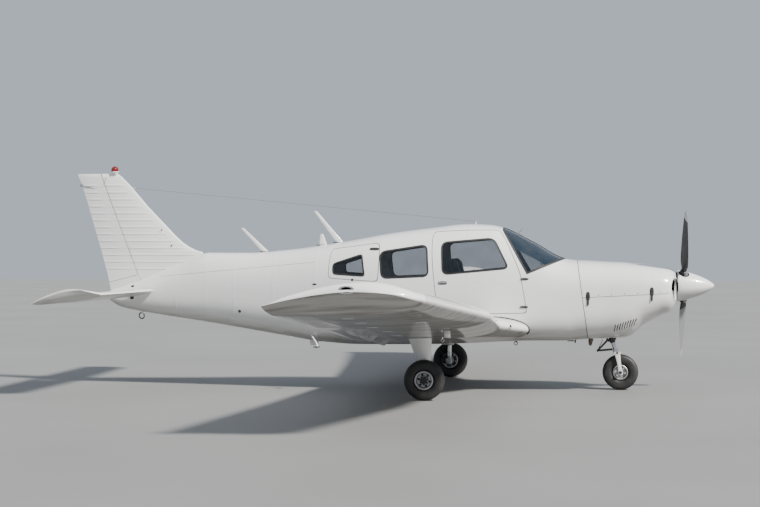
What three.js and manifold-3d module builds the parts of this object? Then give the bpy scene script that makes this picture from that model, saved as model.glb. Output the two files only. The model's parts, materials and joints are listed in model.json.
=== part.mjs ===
// Light aircraft: four seats, one engine, low wing with tapered outer panels,
// all-moving tailplane and fixed tricycle gear. Millimetres, +X forward, +Y left, +Z up.
// The origin is on the ground, at mid length, in the plane of symmetry.
import * as THREE from 'three';
import { mergeVertices } from 'three/addons/utils/BufferGeometryUtils.js';
import Module from 'manifold-3d';

const wasm = await Module();
wasm.setup();

// Driving dimensions
const NOSE_X = 3625;
const TAIL_X = -3625;
const FIT_GAP = 0.3;              // between touching pieces
const MOVING_GAP = 7;             // round doors and control surfaces
const SKIN = 40;                  // cabin wall with its lining
const COWL_SKIN = 14;
const FLOOR_DEPTH = 95;
const GLASS = 6;
const CABIN_AFT_X = -760;
const BULKHEAD = 24;
const TAIL_WALL = 12;
const TAIL_SKIN = 8;              // fin and tailplane
const COWL_FRONT_X = 3200;
const SHAFT_END_X = 3207;
const SHAFT_RADIUS = 55;
const SPINNER_BASE_X = 3222;
const SPINNER_RADIUS = 174;
const SPINNER_CURVE = { bend: 1.3, close: 0.66 };
const PROP_X = 3292;
const PROP_Z = 1157;
const PROP_TILT = THREE.MathUtils.degToRad(-31);
const SHANK = { radius: 42, reach: 200, hole: 44, pocket: 60, pocketFrom: 110 };
const MAIN_AXLE = { x: 576, y: 1525, z: 210 };
const NOSE_AXLE = { x: 2602, z: 197 };
const STEER_POINT = new THREE.Vector3(2555, 0, 420);
const STEER_RAKE = THREE.MathUtils.degToRad(18);
const STEER_UP = new THREE.Vector3(-Math.sin(STEER_RAKE), 0, Math.cos(STEER_RAKE));
const STABILATOR_HINGE = { x: -2900, z: 1062 };
const JACK_PAD = { x: 850, y: 1900, z: 672, radius: 32 };
const TAIL_PAD = { x: -2850, z: 815, radius: 18 };
const TOW_PEG_Y = 100;
const FAR = 9000;                 // reach of cutting blocks

// Finishes
const finish = (color, roughness, metalness) => new THREE.MeshStandardMaterial({ color, roughness, metalness });
const WHITE = finish(0xe9e8e4, 0.35, 0);
const GLASS_FINISH = finish(0x2c3540, 0.08, 0);
const RUBBER = finish(0x16161a, 0.85, 0);
const ALLOY = finish(0xa7a9ac, 0.45, 0.9);
const DARK_STEEL = finish(0x2b2b2d, 0.5, 0.7);
const SEAT_BLUE = finish(0x24385c, 0.8, 0);
const TRIM_GREY = finish(0x4a4d50, 0.7, 0);
const RED_LENS = finish(0xc01822, 0.15, 0);
const PROP_BLACK = finish(0x1b1c1e, 0.6, 0.2);

// Solids from closed meshes, and back
function solid(geometry) {
  const bare = geometry.clone();
  bare.deleteAttribute('normal');
  bare.deleteAttribute('uv');
  const merged = mergeVertices(bare, 1e-3);
  const triVerts = new Uint32Array(merged.index.array);
  const vertProperties = new Float32Array(merged.attributes.position.array);
  return new wasm.Manifold(new wasm.Mesh({ numProp: 3, vertProperties, triVerts }));
}

function geometryOf(body) {
  const mesh = body.getMesh();
  const geometry = new THREE.BufferGeometry();
  geometry.setAttribute('position', new THREE.BufferAttribute(new Float32Array(mesh.vertProperties), 3));
  geometry.setIndex(new THREE.BufferAttribute(new Uint32Array(mesh.triVerts), 1));
  geometry.computeVertexNormals();
  return geometry;
}

const join = (bodies) => bodies.reduce((whole, body) => whole.add(body));
const cut = (body, tools) => tools.reduce((whole, tool) => whole.subtract(tool), body);

// A loft through rings of equal point count, with flat ends, as a closed solid
function loft(rings) {
  const count = rings[0].length;
  const points = rings.flat();
  const index = [];
  for (let ring = 0; ring + 1 < rings.length; ring += 1) {
    for (let step = 0; step < count; step += 1) {
      const next = (step + 1) % count;
      const [a, b] = [ring * count + step, ring * count + next];
      index.push(a, b, a + count, b, b + count, a + count);
    }
  }
  for (const [ring, flip] of [[0, false], [rings.length - 1, true]]) {
    const centre = new THREE.Vector3();
    rings[ring].forEach((point) => centre.addScaledVector(point, 1 / count));
    points.push(centre);
    for (let step = 0; step < count; step += 1) {
      const [a, b] = [ring * count + step, ring * count + (step + 1) % count];
      index.push(...(flip ? [a, b, points.length - 1] : [b, a, points.length - 1]));
    }
  }
  const geometry = new THREE.BufferGeometry().setFromPoints(points);
  geometry.setIndex(index);
  const array = geometry.attributes.position.array;
  const corner = (at) => new THREE.Vector3().fromArray(array, 3 * at);
  let volume = 0;
  for (let at = 0; at < index.length; at += 3) {
    volume += corner(index[at]).dot(corner(index[at + 1]).cross(corner(index[at + 2])));
  }
  if (volume < 0) index.reverse();
  geometry.setIndex(index);
  return solid(geometry);
}

// Simple solids in the part's frame
function block(x0, x1, y0, y1, z0, z1) {
  const box = new THREE.BoxGeometry(x1 - x0, y1 - y0, z1 - z0);
  return solid(box.translate((x0 + x1) / 2, (y0 + y1) / 2, (z0 + z1) / 2));
}

function rod(from, to, radius, sides = 16, farRadius = radius) {
  const line = to.clone().sub(from);
  const cylinder = new THREE.CylinderGeometry(farRadius, radius, line.length(), sides);
  const turn = new THREE.Quaternion().setFromUnitVectors(new THREE.Vector3(0, 1, 0), line.normalize());
  cylinder.applyQuaternion(turn);
  const middle = from.clone().add(to).multiplyScalar(0.5);
  return solid(cylinder.translate(middle.x, middle.y, middle.z));
}

// An outline of [x, z] corners, rounded by a radius, run across the part from y0 to y1
function roundedShape(corners, radius) {
  const shape = new THREE.Shape();
  corners.forEach((corner, at) => {
    const here = new THREE.Vector2(...corner);
    const before = new THREE.Vector2(...corners.at(at - 1));
    const after = new THREE.Vector2(...corners[(at + 1) % corners.length]);
    const toward = (other) => here.clone().add(other.clone().sub(here).setLength(radius));
    const [start, end] = [toward(before), toward(after)];
    if (at === 0) shape.moveTo(start.x, start.y);
    else shape.lineTo(start.x, start.y);
    if (radius > 0) shape.quadraticCurveTo(here.x, here.y, end.x, end.y);
  });
  shape.closePath();
  return shape;
}

function acrossY(corners, y0, y1, radius = 0) {
  const options = { depth: y1 - y0, bevelEnabled: false, curveSegments: 5 };
  const geometry = new THREE.ExtrudeGeometry(roundedShape(corners, radius), options);
  return solid(geometry.rotateX(Math.PI / 2).translate(0, y1, 0));
}

// An outline whose edges all move outward by a distance, for gaps and glass edges
function grown(corners, by) {
  const points = corners.map(([x, z]) => new THREE.Vector2(x, z));
  const outward = Math.sign(THREE.ShapeUtils.area(points)) * by;
  return points.map((here, at) => {
    const normal = (from, to) => new THREE.Vector2(to.y - from.y, from.x - to.x).normalize();
    const before = normal(points.at(at - 1), here);
    const after = normal(here, points[(at + 1) % points.length]);
    const miter = before.clone().add(after).multiplyScalar(outward / (1 + before.dot(after)));
    return here.clone().add(miter).toArray();
  });
}

// A block whose outline at the skin differs from its outline inside, as a door with bevelled edges
function bevelled(outerCorners, outerY, innerCorners, innerY) {
  const ring = (corners, y) => corners.map(([x, z]) => new THREE.Vector3(x, y, z));
  return loft([ring(outerCorners, outerY), ring(innerCorners, innerY)]);
}

// Fuselage: superellipse sections from one table
const SECTIONS = [
  // x, top, bottom, halfWidth, widestZ, topPower, bottomPower
  [COWL_FRONT_X, 1322, 945, 262, 1115, 2.2, 2.2],
  [3175, 1342, 908, 338, 1115, 2.3, 2.4],
  [3120, 1361, 859, 398, 1115, 2.4, 2.6],
  [3035, 1375, 827, 430, 1112, 2.5, 2.7],
  [2926, 1391, 795, 450, 1110, 2.5, 2.9],
  [2828, 1402, 768, 463, 1110, 2.6, 3.0],
  [2800, 1405, 684, 466, 1108, 2.6, 3.0],
  [2770, 1407, 614, 470, 1105, 2.6, 3.0],
  [2720, 1410, 587, 475, 1102, 2.6, 3.1],
  [2600, 1418, 582, 483, 1097, 2.6, 3.3],
  [2460, 1424, 578, 490, 1090, 2.6, 3.4],
  [2240, 1436, 566, 506, 1080, 2.6, 3.6],
  [2120, 1441, 556, 514, 1070, 2.6, 3.6],
  [2010, 1455, 548, 522, 1060, 2.6, 3.8],
  [1636, 1646, 545, 546, 1040, 2.7, 4.0],
  [1301, 1806, 535, 556, 1020, 2.9, 4.0],
  [1180, 1832, 528, 558, 1010, 3.0, 4.0],
  [931, 1843, 515, 560, 1000, 3.0, 4.0],
  [500, 1799, 500, 556, 1000, 3.0, 4.0],
  [0, 1733, 494, 540, 1000, 3.0, 4.0],
  [-318, 1675, 492, 512, 1000, 2.9, 3.8],
  [-760, 1603, 517, 445, 1010, 2.7, 3.4],
  [-1100, 1558, 568, 388, 1030, 2.5, 3.0],
  [-1600, 1520, 648, 306, 1070, 2.3, 2.7],
  [-2060, 1520, 722, 236, 1100, 2.2, 2.5],
  [-2400, 1400, 772, 190, 1090, 2.2, 2.4],
  [-2700, 1280, 817, 154, 1060, 2.2, 2.3],
  [-2900, 1196, 850, 130, 1040, 2.2, 2.3],
  [-3130, 1118, 905, 104, 1020, 2.2, 2.2],
  [-3221, 1090, 962, 92, 1030, 2.2, 2.2],
];
const RING_POINTS = 24;

function hullRing([x, top, bottom, halfWidth, widestZ, topPower, bottomPower], inset, floor) {
  const ring = [];
  for (let step = 0; step < RING_POINTS; step += 1) {
    const angle = (2 * Math.PI * (step + 0.5)) / RING_POINTS;
    const [c, s] = [Math.cos(angle), Math.sin(angle)];
    const power = s > 0 ? topPower : bottomPower;
    const rise = s > 0 ? top - inset - widestZ : widestZ - bottom - floor;
    const y = (halfWidth - inset) * Math.sign(c) * Math.abs(c) ** (2 / power);
    ring.push(new THREE.Vector3(x, y, widestZ + rise * Math.sign(s) * Math.abs(s) ** (2 / power)));
  }
  return ring;
}

function sectionAt(x) {
  const after = SECTIONS.findIndex((row) => row[0] <= x);
  const [front, back] = [SECTIONS[after - 1] ?? SECTIONS[after], SECTIONS[after]];
  const share = front === back ? 0 : (front[0] - x) / (front[0] - back[0]);
  return front.map((value, column) => value + (back[column] - value) * share);
}

function hull(xAft, xFront, inset = 0, floor = inset) {
  const between = SECTIONS.filter(([x]) => x < xFront - 1 && x > xAft + 1);
  const rows = [sectionAt(xFront), ...between, sectionAt(xAft)];
  return loft(rows.map((row) => hullRing(row, inset, floor)));
}

const parts = new THREE.Group();
function add(name, body, material) {
  const mesh = new THREE.Mesh(geometryOf(body), material);
  mesh.name = name;
  parts.add(mesh);
}

const wholeHull = hull(SECTIONS.at(-1)[0], SECTIONS[0][0]);
const hullClearance = hull(SECTIONS.at(-1)[0], SECTIONS[0][0], -FIT_GAP);

// Windows and doors, as [x, z] corners on the side of the fuselage
const FIREWALL = [[2129, 1430], [2242, 600]];
const firewallX = (z) => {
  const [[x0, z0], [x1, z1]] = FIREWALL;
  return x0 + ((x1 - x0) * (z - z0)) / (z1 - z0);
};
const behindFirewall = (shift) => acrossY(
  [[firewallX(2200) + shift, 2200], [firewallX(200) + shift, 200], [-FAR, 200], [-FAR, 2200]], -FAR, FAR);
const WINDSHIELD = [[2004, 1466], [1592, 1296], [1322, 1772], [1300, 2000], [2300, 2000], [2300, 1466]];
const DOOR_WINDOW = [[656, 1632], [1226, 1680], [1392, 1352], [672, 1284]];
const REAR_WINDOW = [[-26, 1530], [492, 1608], [516, 1264], [-4, 1240]];
const BAGGAGE_WINDOW = [[-556, 1396], [-232, 1502], [-196, 1264], [-552, 1286]];
const DOOR_OUTER = [[492, 1815], [1305, 1838], [1355, 1790], [1532, 1308], [1608, 852], [610, 838]];
const BAGGAGE_OUTER = [[-653, 1625], [15, 1688], [-31, 1185], [-641, 1207]];
const DOOR_OUTER_Y = -630;
const DOOR_INNER_Y = -180;
const BEVEL = 100;                // how much smaller a door's outline is at the inner plane

// Cabin: a hollow shell, later split into its floor with both end walls, its two sides and its roof
const cabinBlank = hull(CABIN_AFT_X, 2260).intersect(behindFirewall(0));
const cabinClearance = behindFirewall(FIT_GAP);
const cabinRoom = hull(CABIN_AFT_X + BULKHEAD, 2095, SKIN, FLOOR_DEPTH);
const cabinShell = cabinBlank.subtract(cabinRoom);
const doorBlock = (corners, grow) => bevelled(
  grown(corners, grow), DOOR_OUTER_Y, grown(corners, grow - BEVEL), DOOR_INNER_Y);
const doorPiece = doorBlock(DOOR_OUTER, 0);
const doorHole = doorBlock(DOOR_OUTER, MOVING_GAP);
const baggagePiece = doorBlock(BAGGAGE_OUTER, 0);
const baggageHole = doorBlock(BAGGAGE_OUTER, MOVING_GAP);
const WINDOW_RADIUS = 70;
const SIDE_WINDOWS = [
  // name, corners, corner radius
  ['front', DOOR_WINDOW, WINDOW_RADIUS],
  ['rear', REAR_WINDOW, WINDOW_RADIUS],
  ['baggage', BAGGAGE_WINDOW, WINDOW_RADIUS / 2],
];
const POST_HALF = 14;
const windshieldRight = acrossY(WINDSHIELD, -FAR / 9, -POST_HALF);
const windshieldLeft = acrossY(WINDSHIELD, POST_HALF, FAR / 9);
const windowHoles = SIDE_WINDOWS.flatMap(([, corners, radius]) => [
  acrossY(corners, -900, -200, radius),
  acrossY(corners, 200, 900, radius),
]);
const cabin = cut(cabinShell, [...windowHoles, windshieldRight, windshieldLeft, doorHole, baggageHole]);
const FLOOR_JOINT_Z = 660;
const FRONT_JOINT_X = 1620;
const REAR_JOINT_X = CABIN_AFT_X + BULKHEAD;
const ROOF_JOINT = { aftZ: 1500, levelX: 0, levelZ: 1645 };
const POST_END_X = 1980;
const aboveRoofJoint = (lift) => acrossY([
  [REAR_JOINT_X + lift, ROOF_JOINT.aftZ + lift], [ROOF_JOINT.levelX, ROOF_JOINT.levelZ + lift],
  [FAR, ROOF_JOINT.levelZ + lift], [FAR, FAR], [REAR_JOINT_X + lift, FAR]], -FAR, FAR);
const centrePost = (grow) => block(
  1200, POST_END_X + grow, -POST_HALF - 0.2 - grow, POST_HALF + 0.2 + grow, 1290, 2200);
const frontBlock = block(FRONT_JOINT_X, FAR, -FAR, FAR, FLOOR_JOINT_Z, ROOF_JOINT.levelZ);
const lowBlock = block(-FAR, FAR, -FAR, FAR, 0, FLOOR_JOINT_Z);
const rearBlock = block(-FAR, REAR_JOINT_X, -FAR, FAR, 0, FAR);
const tubBlock = join([frontBlock, lowBlock, rearBlock]).subtract(centrePost(FIT_GAP));
const sideBlock = (y0, y1) => block(
  REAR_JOINT_X + FIT_GAP, FRONT_JOINT_X - FIT_GAP, y0, y1, FLOOR_JOINT_Z + FIT_GAP, FAR)
  .subtract(aboveRoofJoint(-FIT_GAP)).subtract(centrePost(FIT_GAP));
add('cabin_floor', cabin.intersect(tubBlock), WHITE);
add('cabin_roof', cabin.intersect(aboveRoofJoint(FIT_GAP).add(centrePost(0)).subtract(frontBlock
  .subtract(centrePost(0)))), WHITE);
add('cabin_side_right', cabin.intersect(sideBlock(-FAR, 0)), WHITE);
add('cabin_side_left', cabin.intersect(sideBlock(0, FAR)), WHITE);
add('cabin_door', cut(cabinShell.intersect(doorPiece), [windowHoles[0]]), WHITE);
add('baggage_door', cut(cabinShell.intersect(baggagePiece), [windowHoles[4]]), WHITE);

// Glass: a thin layer of the hull's own shape, a little under the skin, filling each hole
const glassLayer = hull(CABIN_AFT_X, 2260, 5, 5).subtract(hull(CABIN_AFT_X, 2260, 5 + GLASS, 5 + GLASS));
SIDE_WINDOWS.forEach(([name, corners, radius]) => {
  for (const [side, y0, y1] of [['right', -900, -200], ['left', 200, 900]]) {
    const pane = glassLayer.intersect(acrossY(grown(corners, -FIT_GAP), y0, y1, radius));
    add(`window_${name}_${side}`, pane, GLASS_FINISH);
  }
});
const paneOutline = [[2003.5, 1466.4], [1592.3, 1296.8], [1322.5, 1772.2], [1300.4, 2000], [2300, 2000], [2300, 1466.4]];
add('windshield_right', glassLayer.intersect(acrossY(paneOutline, -FAR / 9, -POST_HALF - FIT_GAP)), GLASS_FINISH);
add('windshield_left', glassLayer.intersect(acrossY(paneOutline, POST_HALF + FIT_GAP, FAR / 9)), GLASS_FINISH);

// Tail cone: a skin with two frames, open at its front
const tailRoom = hull(-2780, CABIN_AFT_X + 1, TAIL_WALL);
const TUBE = { radius: 30, hole: 38, half: 300 };
const acrossTail = (half, radius) => rod(new THREE.Vector3(STABILATOR_HINGE.x, -half, STABILATOR_HINGE.z),
  new THREE.Vector3(STABILATOR_HINGE.x, half, STABILATOR_HINGE.z), radius, 20);
const hingeHole = acrossTail(TUBE.half + 100, TUBE.hole);
const tailCone = hull(-3221, CABIN_AFT_X - FIT_GAP).subtract(tailRoom).subtract(hingeHole);
const tailPad = rod(new THREE.Vector3(TAIL_PAD.x, 0, TAIL_PAD.z),
  new THREE.Vector3(TAIL_PAD.x, 0, TAIL_PAD.z + 60), TAIL_PAD.radius, 14);
add('tail_cone', tailCone.add(tailPad), WHITE);

// Cowling: upper and lower halves over an engine block
const COWL_AFT_X = 2050;
const cowlRoom = hull(COWL_AFT_X - 10, COWL_FRONT_X - COWL_SKIN, COWL_SKIN);
const cowlSkin = hull(COWL_AFT_X, COWL_FRONT_X).subtract(cabinClearance).subtract(cowlRoom);
const SPLIT = [[2000, 1028], [3300, 1092]];
const INLET = { y: 275, z: 1130, halfY: 110, halfZ: 120, aftX: 3050, frontX: 3400, points: 20 };
const upperHalf = acrossY([[2000, SPLIT[0][1]], [3300, SPLIT[1][1]], [3300, 2000], [2000, 2000]], -900, 900);
const lowerHalf = acrossY(
  [[2000, SPLIT[0][1] - FIT_GAP], [3300, SPLIT[1][1] - FIT_GAP], [3300, 300], [2000, 300]], -900, 900);
function inlet(side) {
  const ring = (x) => Array.from({ length: INLET.points }, (_, step) => {
    const angle = (2 * Math.PI * step) / INLET.points;
    const y = side * INLET.y + INLET.halfY * Math.cos(angle);
    return new THREE.Vector3(x, y, INLET.z + INLET.halfZ * Math.sin(angle));
  });
  return loft([ring(INLET.frontX), ring(INLET.aftX)]);
}
const alongShaft = (fromX, toX, radius) => rod(
  new THREE.Vector3(fromX, 0, PROP_Z), new THREE.Vector3(toX, 0, PROP_Z), radius, 20);
const shaftHole = alongShaft(INLET.aftX, INLET.frontX, SHAFT_RADIUS + 15);
const STRUT_HOLE = { from: 60, to: 330, radius: 78 };
const strutHole = rod(STEER_POINT.clone().addScaledVector(STEER_UP, STRUT_HOLE.from),
  STEER_POINT.clone().addScaledVector(STEER_UP, STRUT_HOLE.to), STRUT_HOLE.radius, 20);
const CHIN_INLET = [2700, 2900, -150, 150, 668, 752];
const OUTLET = [2190, 2330, -170, 170, 500, 640];
const cowlCuts = [inlet(1), inlet(-1), shaftHole];
add('cowl_upper', cut(cowlSkin.intersect(upperHalf), cowlCuts), WHITE);
add('cowl_lower', cut(cowlSkin.intersect(lowerHalf), [...cowlCuts, strutHole, block(...CHIN_INLET), block(...OUTLET)]), WHITE);
const CRANKCASE = [2420, 3080, -300, 300, 930, 1240];
const MOUNT = { aftX: 2150, frontX: 2440, y: 200, z: 1085, radius: 24 };
const shaft = alongShaft(3050, SHAFT_END_X, SHAFT_RADIUS);
const engineMount = join([1, -1].map((side) => rod(
  new THREE.Vector3(MOUNT.aftX, side * MOUNT.y, MOUNT.z),
  new THREE.Vector3(MOUNT.frontX, side * MOUNT.y, MOUNT.z), MOUNT.radius, 10)));
add('engine_block', join([block(...CRANKCASE), shaft, engineMount]).subtract(cabinClearance), DARK_STEEL);

// Propeller: two twisted blades and a shank through the spinner
const BLADE = [
  // radius, chord, thickness, pitch degrees
  [150, 66, 56, 40],
  [205, 70, 44, 40],
  [270, 118, 30, 37],
  [380, 150, 24, 30],
  [560, 158, 17, 23],
  [740, 142, 12, 18],
  [870, 112, 8, 15],
  [925, 74, 6, 14],
  [940, 34, 4, 14],
];
function bladeSolid(turn) {
  const along = new THREE.Vector3(0, Math.sin(turn), Math.cos(turn));
  const sideways = new THREE.Vector3(0, Math.cos(turn), -Math.sin(turn));
  const rings = BLADE.map(([radius, chord, thickness, pitch]) => {
    const angle = THREE.MathUtils.degToRad(pitch);
    const chordWay = sideways.clone().multiplyScalar(Math.cos(angle));
    chordWay.x = -Math.sin(angle);
    const thickWay = along.clone().cross(chordWay);
    return Array.from({ length: 12 }, (_, step) => {
      const around = (2 * Math.PI * step) / 12;
      const point = new THREE.Vector3(PROP_X, 0, PROP_Z).addScaledVector(along, radius);
      point.addScaledVector(chordWay, 0.5 * chord * Math.cos(around));
      return point.addScaledVector(thickWay, 0.5 * thickness * Math.sin(around));
    });
  });
  return loft(rings);
}
const bladeTurns = [PROP_TILT, PROP_TILT + Math.PI];
const propWay = new THREE.Vector3(0, Math.sin(PROP_TILT), Math.cos(PROP_TILT));
const propCentre = new THREE.Vector3(PROP_X, 0, PROP_Z);
const shankAt = (radius, from, to) => rod(propCentre.clone().addScaledVector(propWay, from),
  propCentre.clone().addScaledVector(propWay, to), radius, 20);
const shank = shankAt(SHANK.radius, -SHANK.reach, SHANK.reach);
add('propeller', join([shank, ...bladeTurns.map(bladeSolid)]), PROP_BLACK);
const spinnerProfile = [new THREE.Vector2(0, SPINNER_BASE_X)];
const SPINNER_STEPS = 9;
for (let step = 0; step <= SPINNER_STEPS; step += 1) {
  const share = step / SPINNER_STEPS;
  const radius = SPINNER_RADIUS * (1 - share ** SPINNER_CURVE.bend) ** SPINNER_CURVE.close;
  spinnerProfile.push(new THREE.Vector2(step === SPINNER_STEPS ? 0 : radius,
    SPINNER_BASE_X + share * (NOSE_X - SPINNER_BASE_X)));
}
const spinnerLathe = new THREE.LatheGeometry(spinnerProfile, 32).rotateZ(-Math.PI / 2).translate(0, 0, PROP_Z);
const shankRoom = [shankAt(SHANK.hole, -SPINNER_RADIUS, SPINNER_RADIUS),
  shankAt(SHANK.pocket, SHANK.pocketFrom, 2 * SPINNER_RADIUS),
  shankAt(SHANK.pocket, -2 * SPINNER_RADIUS, -SHANK.pocketFrom)];
add('spinner', cut(solid(spinnerLathe), shankRoom), WHITE);

// Wing: airfoil sections from one table, cut by the hull, with flap and aileron cut out
const WING = [
  // y, leading edge x, leading edge z, trailing edge x, trailing edge z, thickness, camber
  [380, 1665, 682, -240, 527, 0.135, 0.02],
  [1150, 1340, 763, -240, 608, 0.15, 0.02],
  [2700, 1335, 926, -240, 771, 0.15, 0.02],
  [5060, 965, 1157, -300, 1020, 0.16, 0.02],
  [5230, 870, 1176, -325, 1062, 0.12, 0.08],
  [5310, 720, 1205, -342, 1100, 0.045, 0.085],
  [5335, 600, 1217, -336, 1105, 0.015, 0.05],
];
const CHORD_STEPS = 10;
const THICKNESS_TERMS = [0.2969, -0.126, -0.3516, 0.2843, -0.1036];

function airfoilRing([y, leadX, leadZ, trailX, trailZ, thickness, camber], side) {
  const chord = Math.hypot(leadX - trailX, leadZ - trailZ);
  const back = new THREE.Vector3(trailX - leadX, 0, trailZ - leadZ).divideScalar(chord);
  const up = new THREE.Vector3(back.z, 0, -back.x);
  const half = (t) => {
    const [a, b, c, d, e] = THICKNESS_TERMS;
    return 5 * thickness * (a * Math.sqrt(t) + b * t + c * t ** 2 + d * t ** 3 + e * t ** 4) + 0.0012;
  };
  const middle = (t) => camber * (t < 0.4 ? (0.8 * t - t * t) / 0.16 : (0.2 + 0.8 * t - t * t) / 0.36);
  const ring = [];
  const at = (t, sign) => {
    const height = chord * (middle(t) + sign * half(t));
    const point = new THREE.Vector3(leadX, side * y, leadZ).addScaledVector(back, t * chord);
    ring.push(point.addScaledVector(up, height));
  };
  for (let step = CHORD_STEPS; step >= 0; step -= 1) at((1 - Math.cos((Math.PI * step) / CHORD_STEPS)) / 2, 1);
  for (let step = 1; step <= CHORD_STEPS; step += 1) at((1 - Math.cos((Math.PI * step) / CHORD_STEPS)) / 2, -1);
  return ring;
}

// A hinged surface's cutting shape: everything aft of its hinge line, with a round nose about it
function hinged(from, to, up, noseRadius, grow, endGap = grow, reach = 700) {
  const along = to.clone().sub(from).normalize();
  const upright = up.clone().addScaledVector(along, -up.dot(along)).normalize();
  const aft = new THREE.Vector3().crossVectors(upright, along);
  if (aft.x > 0) aft.negate();
  const front = -grow;
  const outline = [[reach, 400], [front, 400]];
  const NOSE_STEPS = 12;
  const firstAngle = Math.acos(front / noseRadius);
  for (let step = 0; step <= NOSE_STEPS; step += 1) {
    const angle = firstAngle + ((2 * Math.PI - 2 * firstAngle) * step) / NOSE_STEPS;
    outline.push([noseRadius * Math.cos(angle), noseRadius * Math.sin(angle)]);
  }
  outline.push([front, -400], [reach, -400]);
  const ring = (origin, shift) => outline.map(([u, v]) => origin.clone().addScaledVector(along, shift)
    .addScaledVector(aft, u).addScaledVector(upright, v));
  return loft([ring(from, -endGap), ring(to, endGap)]);
}

const UP = new THREE.Vector3(0, 0, 1);
const AILERON = { inner: new THREE.Vector3(75, 3270, 883), outer: new THREE.Vector3(-35, 4980, 1057), nose: 58 };
const FLAP = { inner: new THREE.Vector3(80, 640, 505), outer: new THREE.Vector3(80, 3150, 769), nose: 152 };
const sided = (vector, side) => new THREE.Vector3(vector.x, side * vector.y, vector.z);
for (const [label, side] of [['right', -1], ['left', 1]]) {
  const whole = loft(WING.map((row) => airfoilRing(row, side))).subtract(hullClearance);
  const region = ({ inner, outer, nose }, grow) => hinged(
    sided(inner, side), sided(outer, side), UP, nose + grow, grow);
  const pad = rod(new THREE.Vector3(JACK_PAD.x, side * JACK_PAD.y, JACK_PAD.z),
    new THREE.Vector3(JACK_PAD.x, side * JACK_PAD.y, JACK_PAD.z + 90), JACK_PAD.radius, 16);
  const fixedWing = cut(whole, [region(AILERON, MOVING_GAP), region(FLAP, MOVING_GAP)]);
  add(`wing_${label}`, fixedWing.add(pad), WHITE);
  add(`aileron_${label}`, whole.intersect(region(AILERON, 0)), WHITE);
  add(`flap_${label}`, whole.intersect(region(FLAP, 0)), WHITE);
}

// Fin and rudder: thin sections stacked in height
const FIN = [
  // z, leading edge x, trailing edge x, half thickness
  [1090, -2020, -3232, 54],
  [1240, -2080, -3262, 50],
  [1527, -2145, -3340, 44],
  [1545, -2215, -3345, 44],
  [1583, -2296, -3357, 43],
  [1640, -2380, -3374, 42],
  [1715, -2463, -3396, 40],
  [2060, -2797, -3498, 31],
  [2300, -3005, -3572, 24],
  [2400, -3105, -3618, 20],
  [2432, -3150, TAIL_X, 10],
];
const FIN_STEPS = 8;
function finRing([z, leadX, trailX, half]) {
  const chord = leadX - trailX;
  const ring = [];
  const at = (t, sign) => {
    const width = half * Math.min(1, 1.9 * Math.sqrt(t) * (1 - 0.45 * t)) * (1 - t ** 3) + 2.5;
    ring.push(new THREE.Vector3(leadX - t * chord, sign * width, z));
  };
  for (let step = FIN_STEPS; step >= 0; step -= 1) at((step / FIN_STEPS) ** 1.6, 1);
  for (let step = 0; step <= FIN_STEPS; step += 1) at((step / FIN_STEPS) ** 1.6, -1);
  return ring;
}
const RUDDER_LOW = new THREE.Vector3(-2923, 0, 1205);
const RUDDER_SLOPE = -0.388;
const RUDDER_HIGH = new THREE.Vector3(RUDDER_LOW.x + RUDDER_SLOPE * 1300, 0, RUDDER_LOW.z + 1300);
const finWhole = loft(FIN.map(finRing)).subtract(hullClearance);
const FIN_ROOM_TOP = 2300;
const finRoom = loft(FIN.filter(([z]) => z <= FIN_ROOM_TOP).map(([z, leadX, trailX, half]) => finRing(
  [z, leadX - 4 * TAIL_SKIN, trailX, half - TAIL_SKIN])));
const RUDDER_FLOOR = { frontX: -2700, frontZ: 1310, aftX: -3700, aftZ: 1062 };
const rudderFloor = (lift) => acrossY([[RUDDER_FLOOR.frontX, RUDDER_FLOOR.frontZ + lift],
  [RUDDER_FLOOR.aftX, RUDDER_FLOOR.aftZ + lift], [RUDDER_FLOOR.aftX, 2600], [RUDDER_FLOOR.frontX, 2600]], -400, 400);
const RUDDER_NOSE = 46;
const sideways = new THREE.Vector3(0, 1, 0);
const behindHinge = (grow) => hinged(RUDDER_LOW, RUDDER_HIGH, sideways, RUDDER_NOSE + grow, grow, 500, 900);
const rudderRegion = (grow) => behindHinge(grow).intersect(rudderFloor(grow > 0 ? 0 : MOVING_GAP + 1));
const aheadOfCove = behindHinge(0);
const coveWall = aheadOfCove.translate([MOVING_GAP + 3 * TAIL_SKIN, 0, 0]);
add('fin', cut(finWhole, [rudderRegion(MOVING_GAP), finRoom.subtract(coveWall)]), WHITE);
add('rudder', finWhole.intersect(rudderRegion(0)), WHITE);
add('beacon', solid(new THREE.SphereGeometry(44, 16, 10)).translate([-3184, 0, 2478]), RED_LENS);

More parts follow.
